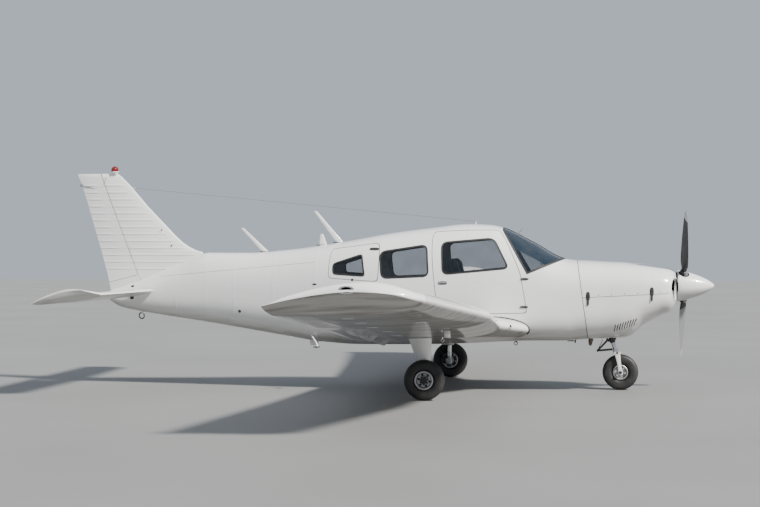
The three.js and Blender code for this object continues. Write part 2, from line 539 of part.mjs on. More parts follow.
// Tailplane: one all-moving piece on a tube through the tail, with a tab across its trailing edge
const STAB = [
  // distance out, leading edge x, leading edge z, trailing edge x, trailing edge z, thickness, camber
  [168, -2684, 1088, -3438, 976, 0.1, 0],
  [1860, -2744, 1092, -3438, 978, 0.1, 0.01],
  [1950, -2834, 1116, -3452, 985, 0.07, 0.045],
  [1980, -2936, 1138, -3472, 992, 0.03, 0.075],
];
const STAB_ROOM_AFT_X = -3230;
const STAB_ROOM_OUT_Y = 1740;
const STAB_ROOM_SHIFT = 42;
const SPAR_HALF = 30;
const TAB_HINGE = { x: -3300, z: 995 };
const stabAt = (y, shift = 0, thickness = STAB[0][5]) => {
  const [, leadX, leadZ, trailX, trailZ] = STAB[0];
  return airfoilRing([y, leadX - shift, leadZ, trailX, trailZ, thickness, 0], 1);
};
function stabRoom(side) {
  const [rootY, leadX, , trailX, , thickness] = STAB[0];
  const thin = thickness - (2 * TAIL_SKIN) / (leadX - trailX);
  const whole = loft([rootY - 50, STAB_ROOM_OUT_Y].map((y) => stabAt(side * y, STAB_ROOM_SHIFT, thin)));
  return cut(whole, [block(-FAR, STAB_ROOM_AFT_X, -FAR, FAR, 0, FAR),
    block(STABILATOR_HINGE.x - SPAR_HALF, STABILATOR_HINGE.x + SPAR_HALF, -FAR, FAR, 0, FAR)]);
}
const tabHinge = (y) => new THREE.Vector3(TAB_HINGE.x, y, TAB_HINGE.z);
const TAB_HALF = 1180;
const stabTube = acrossTail(TUBE.half, TUBE.radius);
const tabRegion = (grow) => hinged(tabHinge(-TAB_HALF), tabHinge(TAB_HALF), UP, 20 + grow, grow);
const stabHalves = [1, -1].map((side) => loft(STAB.map((row) => airfoilRing(row, side))).subtract(stabRoom(side)));
add('stabilator', join([...stabHalves, stabTube]).subtract(tabRegion(MOVING_GAP)), WHITE);
const tabBlank = loft([-TAB_HALF, TAB_HALF].map((y) => stabAt(y)));
add('anti_servo_tab', tabBlank.intersect(tabRegion(0)), WHITE);

// Wheels: tyre, hub and what carries them
function tyre(centre, radius, width, rim) {
  const profile = [];
  const STEPS = 10;
  const middle = (radius + rim) / 2;
  for (let step = 0; step <= STEPS; step += 1) {
    const angle = (2 * Math.PI * step) / STEPS;
    const reach = (radius - rim) / 2;
    profile.push(new THREE.Vector2(
      middle + reach * Math.sign(Math.cos(angle)) * Math.abs(Math.cos(angle)) ** 0.75,
      (width / 2) * Math.sign(Math.sin(angle)) * Math.abs(Math.sin(angle)) ** 0.75,
    ));
  }
  profile[STEPS].copy(profile[0]);
  const SEGMENTS = 30;
  const lathe = new THREE.LatheGeometry(profile, SEGMENTS);
  return solid(lathe.translate(...centre));
}
function wheelHub(centre, rim, width, bore) {
  const half = width / 2;
  const profile = [
    [bore, -half * 0.8], [bore + 20, -half * 0.8], [rim * 0.72, -half * 0.3], [rim * 0.84, -half * 0.84],
    [rim - 1, -half * 0.84], [rim - 12, -half * 0.4], [rim - 12, half * 0.4], [rim - 1, half * 0.84],
    [rim * 0.84, half * 0.84], [rim * 0.72, half * 0.3], [bore + 20, half * 0.8], [bore, half * 0.8],
    [bore, -half * 0.8],
  ].map(([r, y]) => new THREE.Vector2(r, y));
  return solid(new THREE.LatheGeometry(profile, 20).translate(...centre));
}
const MAIN_TYRE = { radius: MAIN_AXLE.z, width: 150, rim: 96 };
const NOSE_TYRE = { radius: NOSE_AXLE.z, width: 124, rim: 82 };
const AXLE_RADIUS = 20;
const AXLE_PLAY = 2;
const LEG_INSET = 128;
for (const [label, side] of [['right', -1], ['left', 1]]) {
  const centre = [MAIN_AXLE.x, side * MAIN_AXLE.y, MAIN_AXLE.z];
  add(`main_tyre_${label}`, tyre(centre, MAIN_TYRE.radius, MAIN_TYRE.width, MAIN_TYRE.rim), RUBBER);
  add(`main_wheel_${label}`, wheelHub(centre, MAIN_TYRE.rim, MAIN_TYRE.width, AXLE_RADIUS + AXLE_PLAY), ALLOY);
  const legY = side * (MAIN_AXLE.y - LEG_INSET);
  const fairingRing = (z, front, back, half) => Array.from({ length: 16 }, (_, step) => {
    const around = (2 * Math.PI * step) / 16;
    const middle = (front + back) / 2;
    return new THREE.Vector3(middle + ((front - back) / 2) * Math.cos(around), legY + half * Math.sin(around), z);
  });
  const fairing = loft([fairingRing(402, 634, 482, 46), fairingRing(634, 640, 398, 62), fairingRing(760, 640, 398, 62)]);
  const underWing = loft(WING.map((row) => airfoilRing([row[0], row[1], row[2] - FIT_GAP, row[3], row[4] - FIT_GAP,
    row[5], row[6]], side)));
  const piston = rod(new THREE.Vector3(MAIN_AXLE.x, legY, 190), new THREE.Vector3(MAIN_AXLE.x, legY, 420), 30, 16);
  const axle = rod(new THREE.Vector3(MAIN_AXLE.x, legY, MAIN_AXLE.z),
    new THREE.Vector3(MAIN_AXLE.x, side * (MAIN_AXLE.y + 62), MAIN_AXLE.z), AXLE_RADIUS, 16);
  add(`main_leg_${label}`, fairing.subtract(underWing).subtract(
    rod(new THREE.Vector3(MAIN_AXLE.x, legY, 100), new THREE.Vector3(MAIN_AXLE.x, legY, 500), 30 + FIT_GAP, 16)), WHITE);
  add(`main_axle_${label}`, join([piston, axle]), ALLOY);
}

// Nose gear: a housing on the firewall, and a steered leg with its fork, link and wheel
const steerAt = (distance) => STEER_POINT.clone().addScaledVector(STEER_UP, distance);
const noseCentre = [NOSE_AXLE.x, 0, NOSE_AXLE.z];
add('nose_tyre', tyre(noseCentre, NOSE_TYRE.radius, NOSE_TYRE.width, NOSE_TYRE.rim), RUBBER);
add('nose_wheel', wheelHub(noseCentre, NOSE_TYRE.rim, NOSE_TYRE.width, AXLE_RADIUS + AXLE_PLAY), ALLOY);
const FORK_HALF = 84;
const forkArm = (side) => {
  const row = (x, z, half) => [[-half, -6], [half, -6], [half, 6], [-half, 6]].map(([u, v]) => new THREE.Vector3(
    x + u, side * FORK_HALF + v, z));
  return loft([row(NOSE_AXLE.x, NOSE_AXLE.z - 30, 26), row(NOSE_AXLE.x - 8, NOSE_AXLE.z + 60, 26), row(2566, 412, 40)]);
};
const CROWN = { aftX: 2526, frontX: 2606, side: 6, lowZ: 404, highZ: 428 };
const forkCrown = block(
  CROWN.aftX, CROWN.frontX, -FORK_HALF - CROWN.side, FORK_HALF + CROWN.side, CROWN.lowZ, CROWN.highZ);
const noseAxle = rod(new THREE.Vector3(NOSE_AXLE.x, -TOW_PEG_Y, NOSE_AXLE.z),
  new THREE.Vector3(NOSE_AXLE.x, TOW_PEG_Y, NOSE_AXLE.z), AXLE_RADIUS, 16);
add('nose_fork', join([forkArm(1), forkArm(-1), forkCrown, noseAxle]), WHITE);
const strut = rod(steerAt(10), steerAt(400), 30, 16);
const collar = rod(steerAt(130), steerAt(160), 48, 16);
const linkKnee = new THREE.Vector3(2352, 0, 432);
const crownClearance = block(CROWN.aftX - FIT_GAP, CROWN.frontX + FIT_GAP, -FORK_HALF - CROWN.side - 1,
  FORK_HALF + CROWN.side + 1, CROWN.lowZ - FIT_GAP, CROWN.highZ + FIT_GAP);
const linkage = join([rod(steerAt(140), linkKnee, 14, 8), rod(steerAt(24), linkKnee, 14, 8)]);
add('nose_strut', join([strut, collar, linkage]).subtract(crownClearance), DARK_STEEL);
const housing = rod(steerAt(172), steerAt(380), 52, 20);
const braces = join([1, -1].map((side) => rod(new THREE.Vector3(2150, side * 160, 968),
  steerAt(360).add(new THREE.Vector3(-44, side * 20, 0)), 16, 8)));
const strutBore = rod(steerAt(100), steerAt(450), 36, 20);
add('nose_gear_mount', cut(join([housing, braces]), [strutBore, cabinClearance]), DARK_STEEL);

// Cabin fittings: seats, panel and control wheels
const SEATS = [
  // name, back x of the cushion, side y, half width of frame, cushion and back
  ['front_right', 800, -245, 150, 205, 182],
  ['front_left', 800, 245, 150, 205, 182],
  ['rear', -60, 0, 350, 420, 396],
];
const SEAT_FLOOR = 620;
const cabinShellGrown = block(-800, 2300, -700, 700, 300, 900)
  .subtract(hull(CABIN_AFT_X + BULKHEAD, 2095, SKIN + FIT_GAP, FLOOR_DEPTH + FIT_GAP));
for (const [name, x, y, frameHalf, cushionHalf, backHalf] of SEATS) {
  const frame = block(x + 40, x + 440, y - frameHalf, y + frameHalf, SEAT_FLOOR - 60, SEAT_FLOOR + 170).subtract(cabinShellGrown);
  add(`seat_frame_${name}`, frame, TRIM_GREY);
  add(`seat_cushion_${name}`, block(x, x + 480, y - cushionHalf, y + cushionHalf, SEAT_FLOOR + 171, SEAT_FLOOR + 300), SEAT_BLUE);
  const back = [[x - 10, SEAT_FLOOR + 302], [x + 110, SEAT_FLOOR + 302], [x - 20, SEAT_FLOOR + 860],
    [x - 110, SEAT_FLOOR + 850]];
  add(`seat_back_${name}`, acrossY(back, y - backHalf, y + backHalf), SEAT_BLUE);
}
const panelRoom = hull(CABIN_AFT_X + BULKHEAD, 2095, SKIN + 1, FLOOR_DEPTH);
const panelBlank = acrossY([[1770, 1010], [1840, 1010], [2060, 1330], [2060, 1372], [1720, 1400], [1750, 1370]], -600, 600);
add('instrument_panel', panelBlank.intersect(panelRoom), TRIM_GREY);
for (const [label, side] of [['right', -1], ['left', 1]]) {
  const column = rod(new THREE.Vector3(1560, side * 250, 1215), new THREE.Vector3(1772, side * 250, 1200), 11, 10);
  const grip = block(1545, 1569, side * 250 - 120, side * 250 + 120, 1200, 1226);
  const horns = join([1, -1].map((way) => block(1543, 1571, side * 250 + way * 120 - 13,
    side * 250 + way * 120 + 13, 1195, 1290)));
  add(`control_wheel_${label}`, join([column, grip, horns]).subtract(panelBlank.translate([-FIT_GAP, 0, 0])), PROP_BLACK);
}

// Aerials and small fittings
const whip = (base, top) => rod(new THREE.Vector3(base[0], 0, base[1]), new THREE.Vector3(top[0], 0, top[1]), 14, 8, 5);
add('aerial_front', whip([-536, 1610], [-835, 1994]).subtract(hullClearance), WHITE);
add('aerial_rear', whip([-1380, 1480], [-1683, 1802]).subtract(hullClearance), WHITE);
add('aerial_blade', acrossY([[-690, 1560], [-800, 1560], [-775, 1733], [-745, 1733]], -9, 9).subtract(hullClearance), WHITE);
const exhaust = rod(new THREE.Vector3(2300, -110, 700), new THREE.Vector3(2262, -110, 500), 26, 14);
add('exhaust_pipe', exhaust.subtract(cabinClearance), DARK_STEEL);

export default parts;
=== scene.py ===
# %% [markdown]
# This lesson dresses a light aircraft: four seats, a low wing, an all-moving tailplane and three
# fixed wheels. The solids of its construction are loaded first and are never moved or changed.
# What is made here rides on them, stands in for the plain ones, and carries paint, glass and cloth.

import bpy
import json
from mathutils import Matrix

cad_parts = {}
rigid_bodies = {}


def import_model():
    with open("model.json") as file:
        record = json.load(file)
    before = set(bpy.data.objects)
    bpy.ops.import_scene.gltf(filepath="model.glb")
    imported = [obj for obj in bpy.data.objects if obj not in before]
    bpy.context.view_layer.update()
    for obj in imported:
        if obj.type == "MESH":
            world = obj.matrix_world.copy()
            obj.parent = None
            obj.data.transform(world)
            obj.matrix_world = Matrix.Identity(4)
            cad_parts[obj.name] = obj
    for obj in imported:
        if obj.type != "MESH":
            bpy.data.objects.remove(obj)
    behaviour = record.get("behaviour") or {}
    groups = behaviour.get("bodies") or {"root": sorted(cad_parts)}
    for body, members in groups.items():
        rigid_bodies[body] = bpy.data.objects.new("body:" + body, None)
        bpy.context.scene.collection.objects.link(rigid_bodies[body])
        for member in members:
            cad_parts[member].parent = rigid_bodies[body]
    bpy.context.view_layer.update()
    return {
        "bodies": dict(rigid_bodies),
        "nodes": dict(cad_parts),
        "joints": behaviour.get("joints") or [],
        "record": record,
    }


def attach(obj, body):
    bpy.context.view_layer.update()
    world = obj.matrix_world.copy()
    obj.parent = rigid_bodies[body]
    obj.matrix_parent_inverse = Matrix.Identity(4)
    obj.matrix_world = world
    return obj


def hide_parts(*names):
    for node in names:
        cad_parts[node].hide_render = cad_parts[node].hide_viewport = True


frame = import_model()        # bodies, nodes, joints and the record

# %% Tools used throughout
import json
import math

import bpy
import numpy as np
from mathutils import Vector
from mathutils.bvhtree import BVHTree

# %% [markdown]
# The aircraft was photographed from its right side, from eye height and some eighteen metres away,
# with a short telephoto lens. A long lens keeps the far wheel nearly as large as the near one. The
# lens is worked out from the focal length in pixels, so that the frame matches to a pixel or two.

# %% Camera
PHOTO_WIDTH = 760        # pixels
FOCAL_PIXELS = 1583.8
SENSOR_WIDTH = 36.0      # millimetres, as Blender counts it
camera_data = bpy.data.cameras.new("camera")
camera_data.sensor_width = SENSOR_WIDTH
camera_data.lens = FOCAL_PIXELS / PHOTO_WIDTH * SENSOR_WIDTH
camera_data.clip_end = 500
camera = bpy.data.objects.new("camera", camera_data)
camera.location = (2.289, -17.770, 1.568)
camera.rotation_euler = (math.radians(90 - 0.183), 0, math.radians(7.62))
bpy.context.scene.collection.objects.link(camera)
bpy.context.scene.camera = camera
print("lens", round(camera_data.lens, 2), "mm")

# %% [markdown]
# A shader is a sum of small calculations, and those read best as sums. The class below wraps one
# output socket, and its operators add Math nodes, so a mask can be written as 1 - wear * 0.4.
# Everything that isn't plain arithmetic goes through the one method called node.

# %% Shader maths
class Term:
    """One output of a node, ready for arithmetic."""

    def __init__(self, finish, socket):
        self.finish = finish
        self.socket = socket

    def maths(self, operation, *values):
        return self.finish.node("ShaderNodeMath", {"operation": operation}, dict(enumerate(values)))

    def __add__(self, other):
        return self.maths("ADD", self, other)

    def __radd__(self, other):
        return self.maths("ADD", other, self)

    def __sub__(self, other):
        return self.maths("SUBTRACT", self, other)

    def __rsub__(self, other):
        return self.maths("SUBTRACT", other, self)

    def __mul__(self, other):
        return self.maths("MULTIPLY", self, other)

    def __rmul__(self, other):
        return self.maths("MULTIPLY", other, self)

    def __truediv__(self, other):
        return self.maths("DIVIDE", self, other)

    def __neg__(self):
        return self.maths("MULTIPLY", self, -1.0)

    def __abs__(self):
        return self.maths("ABSOLUTE", self)

    def most(self, other):
        return self.maths("MAXIMUM", self, other)

    def clear(self):
        """The value held between 0 and 1."""
        return self.finish.node("ShaderNodeClamp", {}, {"Value": self})

    def ramp(self, low, high):
        """0 below low, 1 above high, straight between; the other way round if low is the larger."""
        return ((self - low) / (high - low)).clear()


# %% [markdown]
# A finish is a material in the making. It starts from one principled shader, whose even values are
# set on its own sockets. Coordinates are those of the object, which here are metres in the
# aircraft's own frame, so that dirt, seams and rubbed edges stay where they belong at any pose.

# %% Finishes
class Finish:
    """A material with its node tree."""

    def __init__(self, name, **even):
        self.material = bpy.data.materials.new(name)
        self.material.use_nodes = True
        self.tree = self.material.node_tree
        self.shader = self.tree.nodes["Principled BSDF"]
        for socket, value in even.items():
            self.set(socket.replace("_", " "), value)

    def plug(self, value, socket):
        if isinstance(value, Term):
            self.tree.links.new(value.socket, socket)
        elif socket.type == "RGBA":
            socket.default_value = (*value, 1.0)[:4]
        else:
            socket.default_value = value

    def set(self, socket, value):
        self.plug(value, self.shader.inputs[socket])

    def node(self, kind, settings=None, inputs=None, output=0):
        """Any node: its settings first, then the values or links of its sockets."""
        made = self.tree.nodes.new(kind)
        for name, value in (settings or {}).items():
            setattr(made, name, value)
        for place, value in (inputs or {}).items():
            self.plug(value, made.inputs[place])
        return Term(self, made.outputs[output])

    def place(self, stretch=(1, 1, 1)):
        """Metres in the aircraft's frame, each way multiplied by its stretch."""
        point = self.node("ShaderNodeTexCoord", output="Object")
        if stretch == (1, 1, 1):
            return point
        return self.node("ShaderNodeVectorMath", {"operation": "MULTIPLY"}, {0: point, 1: stretch})

    def axes(self, vector):
        return [self.node("ShaderNodeSeparateXYZ", {}, {0: vector}, output) for output in range(3)]

    def noise(self, scale, detail=3.0, stretch=(1, 1, 1)):
        inputs = {"Vector": self.place(stretch), "Scale": scale, "Detail": detail}
        return self.node("ShaderNodeTexNoise", {}, inputs)

    def blend(self, low, high, share):
        """A colour between two colours."""
        settings = {"data_type": "RGBA", "clamp_factor": True}
        return self.node("ShaderNodeMix", settings, {0: share, 6: low, 7: high}, 2)

    def relief(self, height, distance, strength=1.0):
        inputs = {"Height": height, "Distance": distance, "Strength": strength}
        self.set("Normal", self.node("ShaderNodeBump", {}, inputs))


# %% [markdown]
# The studio is a pale floor, a large soft sun from ahead on the right, where it stood in the
# photograph, and an even pale surround that fills the shade. A sun with a wide angle gives soft
# shadows, and it lights every view alike, which a lamp beside the camera wouldn't.

# %% Studio
FLOOR_HALF = 60.0        # metres
FLOOR_DARK, FLOOR_PALE = (0.205, 0.205, 0.20), (0.235, 0.235, 0.23)
floor_finish = Finish("floor_finish", Roughness=0.62)
floor_cloud = floor_finish.noise(0.35, 5.0).ramp(0.3, 0.75)
floor_finish.set("Base Color", floor_finish.blend(FLOOR_DARK, FLOOR_PALE, floor_cloud))
floor_mesh = bpy.data.meshes.new("floor")
floor_corners = [(u * FLOOR_HALF, v * FLOOR_HALF, 0) for u, v in ((-1, -1), (1, -1), (1, 1), (-1, 1))]
floor_mesh.from_pydata(floor_corners, [], [(0, 1, 2, 3)])
floor_mesh.materials.append(floor_finish.material)
floor = bpy.data.objects.new("floor", floor_mesh)
bpy.context.scene.collection.objects.link(floor)

SUN_FROM = Vector((0.78, -0.42, 0.80))   # ahead, to the right and above
sun_data = bpy.data.lights.new("sun", "SUN")
sun_data.energy = 8.4
sun_data.angle = math.radians(7)
sun_data.color = (1.0, 0.97, 0.92)
sun = bpy.data.objects.new("sun", sun_data)
sun.rotation_euler = SUN_FROM.to_track_quat("Z", "Y").to_euler()
bpy.context.scene.collection.objects.link(sun)

world = bpy.data.worlds.new("surround")
world.use_nodes = True
surround = world.node_tree.nodes["Background"]
surround.inputs["Color"].default_value = (0.72, 0.80, 0.92, 1)
surround.inputs["Strength"].default_value = 0.68
bpy.context.scene.world = world
print("studio set, sun energy", sun_data.energy)
# %% [markdown]
# The whole skin is one white enamel on thin aluminium sheet. Four things keep it from looking like
# plastic: a clear gloss that is duller where dust lies, faint clouds of grime that run aft with the
# air, hairline seams where sheets meet, and a shallow waviness between the rivet rows, which bends
# every reflection a little. Faces that look down are painted a dark brownish grey, which is partly a
# film of road dust and partly painted shade and a painted reflection of the ground. Each surface gets
# its own seams, given as an axis and a position; on the fin and rudder these dark lines are painted
# shade, one under each pressed bead and one in the rudder's hinge gap. The rudder's hinge line leans,
# so it has an axis of its own, called slant.

# %% Enamel
ENAMEL = (0.83, 0.83, 0.815)
UNDER_FILM_AND_SHADE = (0.125, 0.112, 0.095)   # dust and exhaust film under the belly, with painted shade and a painted reflection of the ground
SEAM_HALF = 0.0016               # half the width of a seam's dark line
RUDDER_SLANT = -0.388            # how far the hinge line of the rudder goes aft as it rises
RUDDER_GAP_AT = -2.4025          # where it crosses the height of the ground
FIN_FRONT_SLANT, FIN_FRONT_AT = -0.926, -0.955    # the same for a line just behind the fin's front edge
# a painted shade line runs along the lower edge of each pressed bead on the fin and rudder
FIN_BEADS_FROM, FIN_BEAD_STEP = 1.323, 0.080


def enamel(name, seams=(), under_film_and_shade=0.5, waves=0.45, where=None, seam_shade=0.8):
    """White paint, dark brownish grey where it faces down as road film with painted shade, and dark lines
    as (axis, position, half width) in metres, kept to where(axes) is 1.
    """
    paint = Finish(name, Coat_Roughness=0.035, Coat_IOR=1.5)
    axes = dict(zip("xyz", paint.axes(paint.place())))
    axes["slant"] = axes["x"] - axes["z"] * RUDDER_SLANT
    up = paint.axes(paint.node("ShaderNodeTexCoord", output="Normal"))[2]
    cloud = paint.noise(1.7, 4.0).ramp(0.35, 0.7)
    streak = paint.noise(2.2, 6.0, (0.35, 5, 5)).ramp(0.46, 0.68)
    speck = paint.noise(55, 5.0).ramp(0.60, 0.72)
    # faces that look down turn dark brownish grey: partly road film, partly painted shade and a painted
    # reflection of the ground
    under = up.ramp(-0.10, -0.70)
    dirt_and_shade = (under * (0.70 + streak * 0.30) * under_film_and_shade + cloud * 0.05 + speck * 0.07).clear()
    seam_and_shade_line = 0
    # dark lines: seams between sheets, and on the fin and rudder painted shade under the beads and in the
    # hinge gap
    for axis, position, half in seams:
        line = 1 - (abs(axes[axis] - position) / half).clear()
        seam_and_shade_line = line.most(seam_and_shade_line)
    seam_and_shade_line = seam_and_shade_line * where(axes) if where else seam_and_shade_line
    shade = paint.blend(ENAMEL, UNDER_FILM_AND_SHADE, dirt_and_shade)
    if seams:
        shade = paint.blend(shade, (0.20, 0.19, 0.18), seam_and_shade_line * seam_shade)
    paint.set("Base Color", shade)
    paint.set("Roughness", 0.24 + dirt_and_shade * 0.35 + cloud * 0.05)
    paint.set("Coat Weight", (0.95 - dirt_and_shade * 0.45).clear())
    sheet = paint.noise(2.6, 2.0, (1, 1.6, 1.6)) * waves
    peel = paint.noise(420, 1.0) * 0.004
    paint.relief(sheet + peel - seam_and_shade_line * 0.12, 0.012, 0.35)
    return paint.material


def behind_fin_front(at):
    return (at["z"] * FIN_FRONT_SLANT - at["x"] + FIN_FRONT_AT).ramp(0.0, 0.02)


hull_seams = [("x", x, SEAM_HALF) for x in (-0.318, 0.93)]
# on the fin and rudder the dark lines are painted shade: a thin one under each bead and a wider one in the
# rudder's hinge gap
fin_shade_lines = [("z", FIN_BEADS_FROM + FIN_BEAD_STEP * count, SEAM_HALF) for count in range(13)]
fin_shade_lines.append(("slant", RUDDER_GAP_AT, 0.009))
wing_seams = [("y", side * y, SEAM_HALF) for side in (-1, 1) for y in (1.15, 2.7, 4.0, 5.06)]
fuselage_paint = enamel("fuselage_paint", hull_seams, under_film_and_shade=0.75)
tail_paint = enamel("tail_paint", under_film_and_shade=0.6)
cowl_paint = enamel("cowl_paint", under_film_and_shade=0.55, waves=0.2)
fin_paint = enamel("fin_paint", fin_shade_lines, 0.35, 0.2, behind_fin_front, 0.50)
wing_paint = enamel("wing_paint", wing_seams, under_film_and_shade=0.95)
surface_paint = enamel("surface_paint", under_film_and_shade=0.7, waves=0.25)
fitting_paint = enamel("fitting_paint", under_film_and_shade=0.3, waves=0.0)
print("enamels ready")

# %% [markdown]
# Tinted acrylic lets a view straight through and hides more as it is seen edge on, so its opacity
# follows Fresnel. A thin haze of dust and fine scratches keeps it from being perfectly clear.

# %% Glass and lenses
def tinted(name, colour, opacity, haze=0.05):
    pane = Finish(name, IOR=1.49, Coat_Weight=1.0, Coat_Roughness=0.02)
    dust = pane.noise(5.5, 6.0).ramp(0.42, 0.75)
    glance = pane.node("ShaderNodeFresnel", {}, {"IOR": 1.6})
    pane.set("Base Color", pane.blend(colour, (0.42, 0.43, 0.43), dust * haze))
    pane.set("Roughness", 0.03 + dust * 0.07)
    pane.set("Alpha", (opacity + glance * 0.9 + dust * haze).clear())
    return pane.material


side_glass = tinted("side_glass", (0.030, 0.040, 0.050), 0.13)
shield_glass = tinted("shield_glass", (0.022, 0.036, 0.055), 0.17, 0.05)
clear_lens = tinted("clear_lens", (0.55, 0.57, 0.58), 0.25)
blue_lens = tinted("blue_lens", (0.004, 0.010, 0.050), 0.92, 0.02)
red_lens = tinted("red_lens", (0.17, 0.0012, 0.002), 0.96, 0.01)
print("glass ready")

# %% [markdown]
# The other finishes are short: each is a colour that wanders a little, a roughness that wanders
# with it, and a grain. One function holds that pattern, and its numbers give rubber, cast alloy,
# oily steel or moulded trim.

# %% Plain finishes
def grained(name, colour, worn, rough, metallic, grain, depth, scale=6.0, spots=0.3):
    """A colour worn towards another in clouds, with a fine grain in relief."""
    stuff = Finish(name, Metallic=metallic)
    cloud = stuff.noise(scale, 5.0).ramp(0.35, 0.75)
    fleck = stuff.noise(grain, 4.0)
    share = (cloud * 0.6 + fleck.ramp(0.55, 0.75) * spots).clear()
    stuff.set("Base Color", stuff.blend(colour, worn, share))
    stuff.set("Roughness", (rough + cloud * 0.14 + fleck * 0.08).clear())
    stuff.relief(fleck, depth, 0.6)
    return stuff.material


tyre_rubber = grained("tyre_rubber", (0.011, 0.011, 0.012), (0.045, 0.043, 0.040), 0.52, 0, 260, 0.0007, 14,
                      0.4)
seal_rubber = grained("seal_rubber", (0.012, 0.012, 0.013), (0.035, 0.035, 0.034), 0.55, 0, 300, 0.0003)
cast_alloy = grained("cast_alloy", (0.52, 0.53, 0.54), (0.30, 0.29, 0.27), 0.38, 0.75, 200, 0.0004, 11, 0.4)
dark_steel = grained("dark_steel", (0.028, 0.028, 0.030), (0.085, 0.078, 0.068), 0.42, 0.35, 150, 0.0004,
                     13, 0.4)
bare_steel = grained("bare_steel", (0.66, 0.67, 0.68), (0.45, 0.44, 0.42), 0.16, 1.0, 400, 0.0001, 20, 0.2)
hot_steel = grained("hot_steel", (0.20, 0.15, 0.11), (0.07, 0.06, 0.055), 0.55, 0.7, 90, 0.0005, 18, 0.4)
cabin_trim = grained("cabin_trim", (0.10, 0.10, 0.105), (0.16, 0.155, 0.15), 0.60, 0, 330, 0.0005)
cabin_liner = grained("cabin_liner", (0.42, 0.41, 0.385), (0.30, 0.29, 0.27), 0.75, 0, 240, 0.0005)
carpet = grained("carpet", (0.045, 0.05, 0.062), (0.09, 0.09, 0.095), 0.95, 0, 500, 0.003, 9, 0.6)
dial_black = grained("dial_black", (0.008, 0.008, 0.009), (0.02, 0.02, 0.02), 0.35, 0, 200, 0.0001)
dial_white = grained("dial_white", (0.70, 0.70, 0.66), (0.5, 0.5, 0.47), 0.45, 0, 200, 0.0001)
# a mid grey for the side laps: painted shade of the lapped edge
lap_shade_grey = grained("lap_shade_grey", (0.34, 0.335, 0.325), (0.22, 0.215, 0.205), 0.50, 0, 300, 0.0002)
walkway = grained("walkway", (0.030, 0.030, 0.031), (0.11, 0.105, 0.10), 0.90, 0, 700, 0.0012, 7, 0.6)
polished_tip = grained("polished_tip", (0.60, 0.60, 0.60), (0.35, 0.35, 0.35), 0.30, 0.6, 300, 0.0001)
print("plain finishes ready")

# %% [markdown]
# The seats are a dark blue woven cloth. A weave is two sets of ridges that cross; here they are two
# wave textures at right angles, whose larger value stands proud. Rubbed places turn lighter.

# %% Seat cloth
THREAD_WAVES = 260.0     # ridges in a metre, over six


def woven(name, colour, rubbed):
    cloth = Finish(name, Sheen_Weight=0.35, Sheen_Roughness=0.5)
    ridge = [cloth.node("ShaderNodeTexWave", {"wave_type": "BANDS", "bands_direction": way},
                        {"Vector": cloth.place(), "Scale": THREAD_WAVES, "Distortion": 0.6}, 1)
             for way in ("Y", "Z")]
    weave = ridge[0].most(ridge[1])
    cloud = cloth.noise(7.0, 5.0).ramp(0.4, 0.72)
    cloth.set("Base Color", cloth.blend(colour, rubbed, (cloud * 0.6 + weave * 0.25).clear()))
    cloth.set("Roughness", 0.82 + cloud * 0.1)
    cloth.relief(weave, 0.0006, 0.7)
    return cloth.material


seat_cloth = woven("seat_cloth", (0.022, 0.040, 0.085), (0.060, 0.085, 0.140))
belt_webbing = woven("belt_webbing", (0.030, 0.030, 0.034), (0.075, 0.075, 0.078))
print("cloth ready")

# %% [markdown]
# The blades are matt black behind, so that they don't dazzle the pilot, and grey in front, where the
# paint is smoother. Grit leaves pits all over, a little lighter and browner. Which side a point is on
# shows in its normal along x.

# %% Blade paint
def blade_finish():
    paint = Finish("blade_paint", Metallic=0.1)
    forward = paint.axes(paint.node("ShaderNodeTexCoord", output="Normal"))[0].ramp(-0.02, 0.06)
    pits = paint.noise(90, 5.0).ramp(0.56, 0.66)
    cloud = paint.noise(9.0, 4.0)
    shade = paint.blend((0.022, 0.022, 0.024), (0.22, 0.222, 0.226), forward)
    paint.set("Base Color", paint.blend(shade, (0.24, 0.23, 0.21), pits * 0.35))
    paint.set("Roughness", (0.52 + cloud * 0.2 - forward * 0.14).clear())
    paint.relief(-pits, 0.0006, 0.5)
    return paint.material


blade_paint = blade_finish()
print("materials in all", len(bpy.data.materials))

# %% [markdown]
# The record names ten slots, and every finish here belongs to one of them. A piece looks up the
# slot of its finish unless it is given another, so the pairs stand in one table and not at every piece.

# %% Slots
SLOTS = {
    "white_paint": (fuselage_paint, tail_paint, cowl_paint, fin_paint, wing_paint, surface_paint,
                    fitting_paint, lap_shade_grey, dial_white),
    "window_tint": (side_glass, shield_glass, clear_lens, blue_lens),
    "red_lens": (red_lens,),
    "tyre_rubber": (tyre_rubber, seal_rubber),
    "wheel_alloy": (cast_alloy,),
    "dark_steel": (dark_steel, dial_black, hot_steel, walkway),
    "bare_steel": (bare_steel, polished_tip),
    "seat_cloth": (seat_cloth, belt_webbing),
    "cabin_trim": (cabin_trim, carpet),
    "blade_paint": (blade_paint,),
}
slot_of = {finish: slot for slot, finishes in SLOTS.items() for finish in finishes}
print("slot_shades", len(SLOTS), "for", len(slot_of), "finishes")
# %% [markdown]
# Most pieces of an aircraft are lofts: rings of points joined by faces. A shape is kept as plain
# corners and faces until it is whole, because arrays are quick to make and easy to turn, and two
# shapes add up to one. Whether the faces look outward is checked by the sign of the volume.

